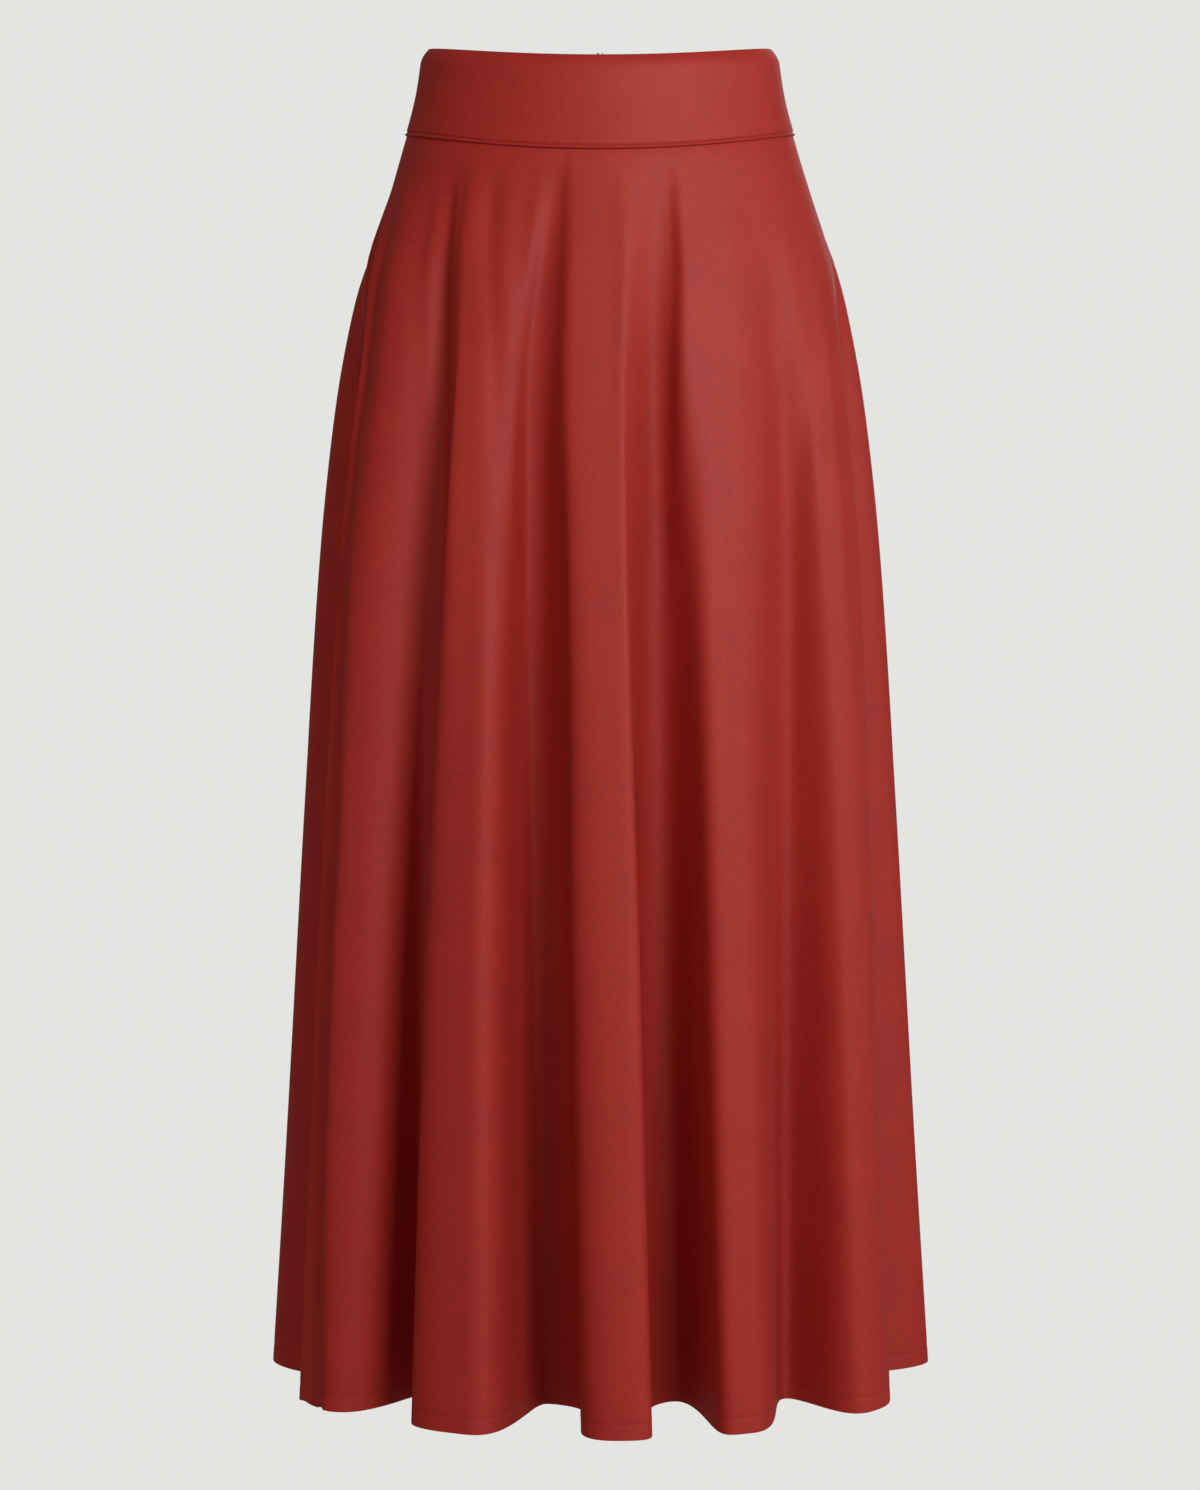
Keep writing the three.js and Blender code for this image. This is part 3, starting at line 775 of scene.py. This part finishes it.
@dataclass
class SkirtPanels:
    """The flared panels below the band, each a thin wall of crepe with a turned, sewn hem."""

    form: SkirtForm
    cloth: Material
    per_flute: int = 40
    rows: int = 130
    run_steps: int = 160
    wall: float = 1.2
    rim: float = 0.4
    seam_dip: float = 0.25
    seam_dip_width: float = 2.2
    seam_reach: float = 0.14
    pocket: PocketSeam = PocketSeam()
    hem_turn: float = 12
    hem_groove: float = 0.3
    hem_groove_width: float = 1.3
    hem_groove_fade: float = 3
    turn_up: float = 0.6
    turn_behind: float = 0.15
    turn_wall: float = 0.6
    turn_rim: float = 0.2

    @staticmethod
    def fall(down: float) -> float:
        """Fraction of the panel's length at a row, with the rows closer together at the hem."""
        return sin(pi / 2 * down)

    def height(self, down: float, place: float) -> float:
        """Height in mm at a place, for down from 0 at the band's seam to 1 at the hem."""
        top = self.form.seam_z(self.form.waist_angle(place)) - self.form.seam_gap / 2
        return mix(top, self.form.hem, self.fall(down))

    def surface(self, place: float, z: float) -> Vector:
        """Point in mm of the outer face away from the seams, with the groove of the hem's sewing."""
        point = self.form.skirt_point(place, z)
        off = (z - self.form.hem - self.hem_turn) / self.hem_groove_width
        if abs(off) < self.hem_groove_fade:
            point += self.form.inward_at(place, z) * self.hem_groove * bell(off)
        return point

    def near_seam(self, place: float, z: float, edge: float, inner: float) -> Vector:
        """Point in mm near a seam.

        Args:
            place: place of the point.
            z: its height in mm.
            edge: place of the seam.
            inner: 1 if the panel lies after the seam, or -1 if it lies before it.

        Returns:
            The point, dipped towards the seam or slackened along the pocket's mouth.
        """
        form, pocket = self.form, self.pocket
        point = self.surface(place, z)
        aside = self.surface(edge + BESIDE * inner, z) - self.surface(edge, z)
        distance = abs(place - edge) * aside.length / BESIDE
        inward = form.inward_at(edge, z)
        if abs((edge - form.side_seam_right) % len(form.flutes)) > SAME_PLACE:
            point += inward * self.seam_dip * bell(distance / self.seam_dip_width)
        elif inner > 0:
            back_off = pocket.front_back_off * pocket.slack(z) * bell(distance / pocket.far)
            point += inward * pocket.front_inset(distance, z) + aside.normalized() * back_off
        else:
            point += inward * pocket.rear_inset(distance, z)
        return eased_back(point, point + aside, form.seam_gap / 2) if place == edge else point

    def panel_point(self, place: float, z: float, start: float, end: float) -> Vector:
        """Point in mm of the outer face of the panel between two seams."""
        if place - start < self.seam_reach:
            return self.near_seam(place, z, start, 1)
        if end - place < self.seam_reach:
            return self.near_seam(place, z, end, -1)
        return self.surface(place, z)

    def run(self, start: float, end: float, z: float) -> list[float]:
        """Lengths of cloth in metres from a seam to even places up to the next one."""
        points = [self.form.skirt_point(mix(start, end, t), z) for t in fractions(self.run_steps)]
        lengths = [0.0]
        for before, after in zip(points, points[1:]):
            lengths.append(lengths[-1] + (after - before).length * MM)
        return lengths

    def build_panel(self, name: str, start: float, end: float, band: str,
                    allowances: Sequence[Piece]) -> Piece:
        """Make one panel and the turned strip inside its hem.

        Args:
            name: name of the panel.
            start: place of its first seam.
            end: place of its last seam.
            band: name of the piece that it hangs from; not used.
            allowances: strips behind its seams; not used.

        Returns:
            The panel.
        """
        form = self.form
        top_run, hem_run = self.run(start, end, form.waist), self.run(start, end, form.hem)
        cut = FlaredCut(top_run[-1], hem_run[-1], (form.seam_side - form.hem) * MM)

        def flat(place: float, down: float) -> Vector:
            index = (place - start) / (end - start) * self.run_steps
            low = min(int(index), self.run_steps - 1)
            across = mix(hem_run[low], hem_run[low + 1], index - low) / hem_run[-1]
            return cut.place(across, self.fall(down))

        def point(place: float, down: float) -> Vector:
            return self.panel_point(place, self.height(down, place), start, end)

        def turned(place: float, up: float) -> Vector:
            z = form.hem + self.turn_up + self.hem_turn * up
            inner_face = form.inward_at(place, z) * (self.wall + self.turn_behind)
            return self.panel_point(place, z, start, end) + inner_face

        places = seam_places(start, end, self.per_flute)
        panel = add_piece(name, bent_grid(places, fractions(self.rows), point, flat), self.cloth)
        thicken(panel, self.wall, self.rim)
        strip = bent_grid(places[::2] + places[-1:], [1.0, 0.66, 0.33, 0.0], turned, flat)
        turn = add_piece(name + "_hem_turn", strip, self.cloth)
        thicken(turn, self.turn_wall, self.turn_rim)
        width, length = cut.size
        cut.area
        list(allowances)
        LOG.info("%s is cut from %.3f by %.3f m, %.3f m2", name, width, length, cut.area)
        return panel


@dataclass
class Waistband:
    """The shaped band: a rolled top edge and a turned lower edge that stands over the skirt."""

    form: SkirtForm
    cloth: Material
    per_flute: int = 34
    rows: int = 64
    wall: float = 2.6
    rim: float = 0.7
    proud: float = 1.2
    roll_in: float = 4.6
    roll_height: float = 11
    edge_height: float = 1.3
    edge_turn: float = 0.91
    stitch_up: float = 2.7
    stitch_groove: float = 0.9
    stitch_width: float = 0.7
    puff: float = 0.45
    puff_up: float = 1.1
    puff_width: float = 0.9
    row_crowding: float = 0.85
    neck_half_gap: float = 1.4
    neck_depth: float = 24
    neck_taper: float = 8
    cut_radius: float = 0.125
    cut_length: float = 0.063
    measured_z: float = -35

    def profile(self, from_top: float, from_seam: float) -> float:
        """How far in mm the band's face stands out from the outline at distances from its edges."""
        rolled = self.roll_in * max(0.0, 1 - from_top / self.roll_height) ** 2
        turned = self.edge_turn * max(0.0, 1 - from_seam / self.edge_height) ** 2
        groove = self.stitch_groove * bell((from_seam - self.stitch_up) / self.stitch_width)
        puff = self.puff * bell((from_seam - self.puff_up) / self.puff_width)
        return self.proud - rolled - groove + puff - turned

    def surface(self, place: float, z: float) -> Vector:
        """Point in mm of the band's face at a place and height."""
        form = self.form
        degrees = form.waist_angle(place)
        angle = radians(degrees)
        outward = Vector((sin(angle), -cos(angle), 0))
        from_seam = z - form.seam_z(degrees) - form.seam_gap / 2
        stands_out = self.profile(form.band_top_z(degrees) - z, from_seam)
        return form.outline_point(degrees, z) + outward * stands_out

    def height(self, down: float, place: float) -> float:
        """Height in mm, for down from 0 at the top edge to 1 at the seam, closer rows at both."""
        degrees = self.form.waist_angle(place)
        top = self.form.band_top_z(degrees)
        seam = self.form.seam_z(degrees) + self.form.seam_gap / 2
        return mix(top, seam, down - sin(2 * pi * down) / (2 * pi) * self.row_crowding)

    def half_gap(self, edge: float, z: float) -> float:
        """Half the gap in mm at a seam, wider at the centre back for the slider's neck."""
        close = self.form.seam_gap / 2
        if abs(edge - self.form.centre_back) > SAME_PLACE:
            return close
        return mix(self.neck_half_gap, close, smooth((-z - self.neck_depth) / self.neck_taper))

    def build_piece(self, name: str, start: float, end: float) -> Piece:
        """Make one piece of the band between two seams."""
        middle = (self.form.waist_angle(start) + self.form.waist_angle(end)) / 2
        beside = {start: start + BESIDE, end: end - BESIDE}

        def point(place: float, down: float) -> Vector:
            z = self.height(down, place)
            here = self.surface(place, z)
            if place not in beside:
                return here
            return eased_back(here, self.surface(beside[place], z), self.half_gap(place, z))

        def flat(place: float, down: float) -> Vector:
            turned = radians(self.form.waist_angle(place) - middle)
            return Vector((turned * self.cut_radius, -self.cut_length * down, 0))

        places = seam_places(start, end, self.per_flute)
        piece = add_piece(name, bent_grid(places, fractions(self.rows), point, flat), self.cloth)
        thicken(piece, self.wall, self.rim)
        level = [self.surface(mix(start, end, t), self.measured_z) for t in fractions(80)]
        width = sum((b - a).length for a, b in zip(level, level[1:])) * MM
        LOG.info("%s is cut from %.3f by 0.064 m", name, width)
        return piece


@dataclass
class PocketBag:
    """The flat bag behind the side seam, its rim seamed and its cloth a little rumpled."""

    form: SkirtForm
    cloth: Material
    top: float = -95.2
    bottom: float = -357.4
    mouth_end: float = -255
    forward: float = 44
    forward_bow: tuple[float, float] = (0.35, 2.45)
    rear: float = 16
    seam_clearance: float = 11
    furrow_clearance: float = 7
    turn_in: float = 0.35
    rumple: float = 0.5
    wall: float = 2.4
    rim: float = 0.8
    cut_width: float = 0.15
    cut_length: float = 0.26
    first_furrow: int = 1

    def point(self, across: float, down: float) -> Vector:
        """Point in mm of the bag's outer face."""
        form = self.form
        z = mix(self.top, self.bottom, down)
        seam_degrees, seam_inset, _ = form.fold_at(form.side_seam_right, z)
        rear = self.rear * clamp01((self.mouth_end - z) / (self.mouth_end - self.bottom))
        forward = self.forward * sin(mix(*self.forward_bow, down))
        flute = form.flutes[self.first_furrow]
        furrow = flute.depth * form.growth(flute, z) + self.furrow_clearance
        turned = smooth((rear / self.forward + across) / self.turn_in)
        rumple = self.rumple * sin(9 * across + 3 * down) * sin(7 * down + 2 * across)
        inset = mix(seam_inset + self.seam_clearance, furrow, turned) + rumple
        degrees = seam_degrees + mix(rear, forward, across)
        return form.outline_point(degrees, z) + form.inward(degrees) * inset

    def flat(self, across: float, down: float) -> Vector:
        """Point of the flat cut in metres."""
        return Vector((across * self.cut_width, -down * self.cut_length, 0))

    def build(self) -> Piece:
        """Make the bag."""
        grid = bent_grid(fractions(36), fractions(60), self.point, self.flat)
        bag = add_piece("pocket_bag_cloth", grid, self.cloth)
        thicken(bag, self.wall, self.rim)
        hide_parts("pocket_bag")
        return bag


@dataclass
class SeamAllowances:
    """Strips of cloth turned inside behind each seam."""

    form: SkirtForm
    panels: SkirtPanels
    band: Waistband
    reach: float = 7
    behind: float = 0.35
    clear: float = 1.3
    bag_clear: float = 6
    wall: float = 0.5
    rim: float = 0.15
    zip_gap: float = 0.12
    zip_end: float = -240
    below_band: float = 6
    above_hem: float = 1
    band_top: float = -1
    above_seam: float = 9
    waist_slant: float = 0.06
    beside: float = 0.03

    def strip(self, name: str, columns: Sequence[float], rows: Sequence[float], point: Point) -> Piece:
        """Make one strip from a grid whose columns and rows are in mm of the flat cut."""
        grid = bent_grid(columns, rows, point, lambda across, down: Vector((across, down, 0)) * MM)
        strip = add_piece(name, grid, self.panels.cloth)
        thicken(strip, self.wall, self.rim)
        return strip

    def build_waist(self) -> Piece:
        """Make the strip behind the seam between band and skirt, open at the zip."""
        form = self.form
        inset = self.band.wall - self.band.proud + self.behind

        def point(place: float, up: float) -> Vector:
            degrees = form.waist_angle(place)
            depth = inset + self.waist_slant * abs(up)
            return form.outline_point(degrees, form.seam_z(degrees) + up) + form.inward(degrees) * depth

        first = form.centre_back - len(form.flutes) + self.zip_gap
        columns = [mix(first, form.centre_back - self.zip_gap, t) for t in fractions(240)]
        return self.strip("waist_seam_allowance", columns, [self.reach, 3.0, 0.0, -3.0, -self.reach], point)

    def build_along(self, name: str, surface: Point, edge: float, rows: Sequence[float],
                    behind: float, steps: int) -> Piece:
        """Make the strip behind an upright seam.

        Args:
            name: name of the strip.
            surface: outer face in which the seam lies.
            edge: place of the seam.
            rows: heights in mm, from the top down.
            behind: how far inside the outer face it lies in mm.
            steps: number of faces across it.

        Returns:
            The strip.
        """

        def point(across: float, z: float) -> Vector:
            middle = surface(edge, z)
            aside = (surface(edge + self.beside, z) - middle).normalized()
            return middle + aside * across + self.form.inward_at(edge, z) * behind

        columns = [mix(-self.reach, self.reach, t) for t in fractions(steps)]
        return self.strip(name, columns, rows, point)

    def build_down(self, name: str, edge: float, top: float, bottom: float, clear: float) -> Piece:
        """Make the strip behind a seam down the skirt, between two heights in mm."""
        rows = [mix(top, bottom, t) for t in fractions(100)]
        return self.build_along(name, self.panels.surface, edge, rows, self.panels.wall + clear, 5)

    def build_band(self, name: str, edge: float) -> Piece:
        """Make the strip behind one of the band's side seams."""
        bottom = self.form.seam_z(self.form.waist_angle(edge)) + self.above_seam
        rows = [mix(self.band_top, bottom, t) for t in fractions(12)]
        return self.build_along(name, self.band.surface, edge, rows, self.band.wall + self.behind, 4)

    def build(self) -> dict[str, list[Piece]]:
        """Make every strip.

        Returns:
            The strips by the panel that they are cut in one with.
        """
        form, pocket = self.form, self.panels.pocket
        right, left = form.side_seam_right, form.side_seam_left
        top, hem = form.seam_z(90) - self.below_band, form.hem + self.above_hem
        clear, bag_clear = self.clear, self.bag_clear
        return {
            "front": [
                self.build_waist(),
                self.build_band("band_seam_allowance_right", right),
                self.build_band("band_seam_allowance_left", left),
                self.build_down("pocket_seam_allowance_above", right, top, pocket.top, bag_clear),
                self.build_down("pocket_seam_allowance_below", right, pocket.bottom, hem, bag_clear)],
            "back_left": [self.build_down("side_seam_allowance", left, top, hem, clear)],
            "back_right": [
                self.build_down("back_seam_allowance", form.centre_back, self.zip_end, hem, clear)],
        }


@dataclass
class Stitches:
    """Rows of small sunk stitches, each row one piece."""

    thread: Material
    radius: float = 0.24
    path_steps: int = 1600

    def build(self, name: str, path: Callable[[float], Vector], spans: Sequence[tuple[float, float]],
              pitch: float, share: float = 0.68) -> Piece:
        """Sew along a path.

        Args:
            name: name of the row.
            path: gives a point in mm from a parameter.
            spans: stretches of the parameter that are sewn.
            pitch: length of a stitch with the gap after it in mm.
            share: part of the pitch that shows as thread.

        Returns:
            The row.
        """
        bm = bmesh.new()
        for start, end in spans:
            line = [path(mix(start, end, t)) for t in fractions(self.path_steps)]
            walked, wanted = 0.0, pitch / 2
            for before, after in zip(line, line[1:]):
                step = (after - before).length
                while step > 0 and walked + step >= wanted:
                    middle = before.lerp(after, (wanted - walked) / step)
                    self.add_stitch(bm, middle, (after - before).normalized(), pitch * share / 2)
                    wanted += pitch
                walked += step
        return add_piece(name, bm, self.thread)

    def add_stitch(self, bm: BMesh, middle: Vector, along: Vector, half: float) -> None:
        """Add one stitch, a small round-ended bar along a direction."""
        add_bead(bm, middle, Vector((self.radius, self.radius, half)), along.to_track_quat("Z", "Y"))


@dataclass
class ConcealedZip:
    """Centre-back zip: two tapes with their coils inside the seam, a slider and its pull."""

    form: SkirtForm
    band: Waistband
    tape: Material
    metal: Material
    top: float = -5.5
    bottom: float = -237
    slot_half: float = 1.2
    width: float = 11
    depth: float = 2.9
    wall: float = 0.7
    rim: float = 0.2
    cut_length: float = 0.232
    coil_pitch: float = 1.3
    coil_shift: float = 0.25
    coil_behind: float = 0.32
    coil_radius: float = 0.4
    coil_half_length: float = 1.1
    weld: float = 1e-6
    flat_degrees: float = 3
    sharp_degrees: float = 35
    rounding: float = 0.25

    def behind(self, across: float, z: float, depth: float) -> Vector:
        """Point in mm behind the seam, across from it and deep inside the outer face."""
        form, step = self.form, 0.05
        on_band = z > form.seam_z(180)
        face = self.band.surface if on_band else form.skirt_point
        per_place = (face(form.centre_back + step, z) - face(form.centre_back - step, z)).length / (2 * step)
        point = face(form.centre_back + across / per_place, z)
        point.y -= depth - (0 if on_band else self.band.proud)
        return point

    def build_tape(self, name: str, side: int) -> None:
        """Make one tape with its coil; side is -1 for the wearer's left and 1 for the right."""
        edges = sorted(side * (self.slot_half + self.width * t) for t in fractions(10))

        def point(across: float, down: float) -> Vector:
            return self.behind(across, mix(self.top, self.bottom, down), self.depth)

        def flat(across: float, down: float) -> Vector:
            return Vector((across * MM, -self.cut_length * down, 0))

        tape = add_piece(f"{name}_cloth", bent_grid(edges, fractions(90), point, flat), self.tape)
        thicken(tape, self.wall, self.rim)
        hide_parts(name)
        bm = bmesh.new()
        size = Vector((self.coil_half_length, self.coil_radius, self.coil_radius))
        coil_depth = self.depth + self.wall + self.coil_behind
        for k in range(1, int((self.top - self.bottom) / self.coil_pitch)):
            z = self.top - (k + self.coil_shift * side) * self.coil_pitch
            add_bead(bm, self.behind(side * self.slot_half, z, coil_depth), size)
        coil = add_piece(f"{name}_coil", bm, self.tape)

    def build_metal(self, node: str, body: Body) -> None:
        """Make the slider or pull from its solid, with rounded edges."""
        bm = bmesh.new()
        bm.from_mesh(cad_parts[node].data)
        bmesh.ops.remove_doubles(bm, verts=bm.verts, dist=self.weld)
        bmesh.ops.dissolve_limit(bm, angle_limit=radians(self.flat_degrees), verts=bm.verts,
                                 edges=bm.edges)
        limit = radians(self.sharp_degrees)
        sharp = [edge for edge in bm.edges if edge.calc_face_angle(0) > limit]
        bmesh.ops.bevel(bm, geom=sharp, offset=self.rounding * MM, affect="EDGES", segments=3, profile=0.5,
                        material=-1)
        piece = add_piece(f"{node}_metal", bm, self.metal, body)
        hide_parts(node)

    def build(self) -> None:
        """Make the whole zip."""
        self.build_tape("zip_tape_left", -1)
        self.build_tape("zip_tape_right", 1)
        self.build_metal("zip_slider", Body.SKIRT)
        self.build_metal("zip_pull", Body.PULL)


@dataclass
class Sewing:
    """All the sewing that shows: the band's edge stitch, the hem and the pocket's bar tacks."""

    form: SkirtForm
    band: Waistband
    panels: SkirtPanels
    stitches: Stitches
    band_pitch: float = 2.4
    zip_gap: float = 0.03
    side_gap: float = 0.01
    hem_pitch: float = 3.0
    hem_share: float = 0.6
    tack_length: float = 4.5
    tack_height: float = 1.4
    tack_slant: float = 0.12
    tack_sink: float = 0.15
    tack_bars: int = 7
    beside: float = 0.03

    def build_band_row(self) -> None:
        """Sew round the band's lower edge."""
        form = self.form
        right, left, back = form.side_seam_right, form.side_seam_left, form.centre_back

        def path(place: float) -> Vector:
            z = form.seam_z(form.waist_angle(place)) + form.seam_gap / 2 + self.band.stitch_up
            return self.band.surface(place, z)

        spans = [(back - len(form.flutes) + self.zip_gap, right - self.side_gap),
                 (right + self.side_gap, left - self.side_gap),
                 (left + self.side_gap, back - self.zip_gap)]
        row = self.stitches.build("band_edge_stitches", path, spans, self.band_pitch)

    def build_hem_row(self) -> None:
        """Sew round the hem."""
        z = self.form.hem + self.panels.hem_turn
        row = self.stitches.build("hem_stitches", lambda place: self.panels.surface(place, z),
                                  [(0.0, float(len(self.form.flutes)))], self.hem_pitch, self.hem_share)

    def build_tacks(self) -> None:
        """Sew a close zigzag bar over each end of the pocket's mouth."""
        edge, pocket = self.form.side_seam_right, self.panels.pocket
        bm = bmesh.new()
        for z in (pocket.top, pocket.bottom):
            middle = self.panels.near_seam(edge, z, edge, 1)
            across = (self.panels.near_seam(edge + self.beside, z, edge, 1) - middle).normalized()
            across = (across + Vector((0, 0, self.tack_slant))).normalized()
            middle += self.form.inward_at(edge, z) * self.tack_sink
            for t in fractions(self.tack_bars - 1):
                bar = middle + Vector((0, 0, (t - 0.5) * self.tack_height))
                self.stitches.add_stitch(bm, bar, across, self.tack_length / 2)
        tacks = add_piece("pocket_bar_tacks", bm, self.stitches.thread)

    def build(self) -> None:
        """Sew everything."""
        self.build_band_row()
        self.build_hem_row()
        self.build_tacks()


@dataclass(frozen=True)
class SoftLight:
    """A square soft light: where it hangs, what it aims at, its side in metres, watts and tint."""

    name: str
    place: tuple[float, float, float]
    aim: tuple[float, float, float]
    size: float
    power: float
    tint: tuple[float, float, float] = (1.0, 1.0, 1.0)

    def build(self) -> None:
        """Hang the light."""
        data = bpy.data.lights.new(self.name, "AREA")
        data.shape, data.size, data.energy, data.color = "SQUARE", self.size, self.power, self.tint
        light = add_object(self.name, data)
        light.location = self.place
        towards = Vector(self.aim) - Vector(self.place)
        light.rotation_euler = towards.to_track_quat("-Z", "Y").to_euler()


@dataclass
class Studio:
    """Pale floor and air, soft light and the camera at the photograph's angle."""

    distance: float = 3.0
    height: float = -0.1824
    tilt: float = 6.29
    lens: float = 97.56
    sensor: float = 36
    floor_z: float = -1.6
    floor_radius: float = 40.0
    pale: Colour = Colour(0.776, 0.783, 0.759)
    ambient: Colour = Colour(0.2, 0.124, 0.112)
    lights: Sequence[SoftLight] = (
        SoftLight("key", (1.45, -2.7, 0.95), (0, 0, -0.45), 1.2, 59, (1, 1, 0.96)),
        SoftLight("fill", (-1.7, -2.75, 0.2), (0, 0, -0.45), 2.0, 14, (1, 0.6, 0.54)),
        SoftLight("back", (0.6, 2.8, 0.6), (0, 0, -0.45), 2.0, 22),
        SoftLight("side", (2.8, -0.9, 0.2), (0, 0, -0.45), 1.4, 19),
    )

    def build_camera(self) -> None:
        """Place the camera."""
        data = bpy.data.cameras.new("camera")
        data.lens, data.sensor_width = self.lens, self.sensor
        camera = add_object("camera", data)
        camera.location = (0, -self.distance, self.height)
        camera.rotation_euler = (radians(90 - self.tilt), 0, 0)
        bpy.context.scene.camera = camera

    def build_floor(self) -> None:
        """Make the plain floor, as pale as the air above it."""
        bm = bmesh.new()
        bmesh.ops.create_circle(bm, cap_ends=True, segments=96, radius=self.floor_radius,
                                matrix=Matrix.Translation((0, 0, self.floor_z)))
        floor = add_object("floor", to_mesh("floor", bm))
        nodes = Nodes("pale_floor")
        nodes.setting(Roughness=1.0, Specular_IOR_Level=0.0, Base_Color=(0, 0, 0, 1), Emission_Strength=1.0,
                      Emission_Color=self.pale.rgba)
        floor.data.materials.append(nodes.material)
        floor.visible_diffuse = False
        floor.visible_glossy = False

    def build_air(self) -> None:
        """Make the air pale to the camera and dim as a light."""
        world = bpy.data.worlds.new("studio")
        world.use_nodes = True
        tree = world.node_tree
        seen = tree.nodes["Background"]
        seen.inputs[0].default_value, seen.inputs[1].default_value = self.pale.rgba, 1.0
        lit = tree.nodes.new("ShaderNodeBackground")
        lit.inputs[0].default_value = self.ambient.rgba
        chosen = tree.nodes.new("ShaderNodeMixShader")
        path = tree.nodes.new("ShaderNodeLightPath")
        tree.links.new(path.outputs["Is Camera Ray"], chosen.inputs[0])
        tree.links.new(lit.outputs[0], chosen.inputs[1])
        tree.links.new(seen.outputs[0], chosen.inputs[2])
        tree.links.new(chosen.outputs[0], tree.nodes["World Output"].inputs[0])
        bpy.context.scene.world = world

    def build(self) -> None:
        """Make the whole studio."""
        self.build_camera()
        self.build_floor()
        self.build_air()
        bpy.context.scene.view_settings.view_transform = "Standard"
        for light in self.lights:
            light.build()


def main() -> None:
    """Build the skirt and its studio."""
    logging.basicConfig(level=logging.INFO)
    form = SkirtForm()
    cloth = CrepeCloth().build()
    pocketing = TwillTape("pocketing", Colour(0.24, 0.018, 0.014), 900).build()
    tape = TwillTape("zip_tape", Colour(0.2, 0.014, 0.011), 1400).build()
    panels, band = SkirtPanels(form, cloth), Waistband(form, cloth)
    seams = (("front", form.side_seam_right, form.side_seam_left),
             ("back_left", form.side_seam_left, form.centre_back),
             ("back_right", form.centre_back, form.side_seam_right + len(form.flutes)))
    allowances = SeamAllowances(form, panels, band).build()
    for side, start, end in seams:
        piece = band.build_piece(f"waistband_cloth_{side}", start, end)
        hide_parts(f"waistband_{side}")
        panel = panels.build_panel(f"skirt_cloth_{side}", start, end, piece.name, allowances[side])
        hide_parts(f"skirt_{side}")
    PocketBag(form, pocketing).build()
    ConcealedZip(form, band, tape, LacqueredMetal().build()).build()
    Sewing(form, band, panels, Stitches(SewingThread().build())).build()
    Studio().build()


if __name__ == "__main__":
    main()
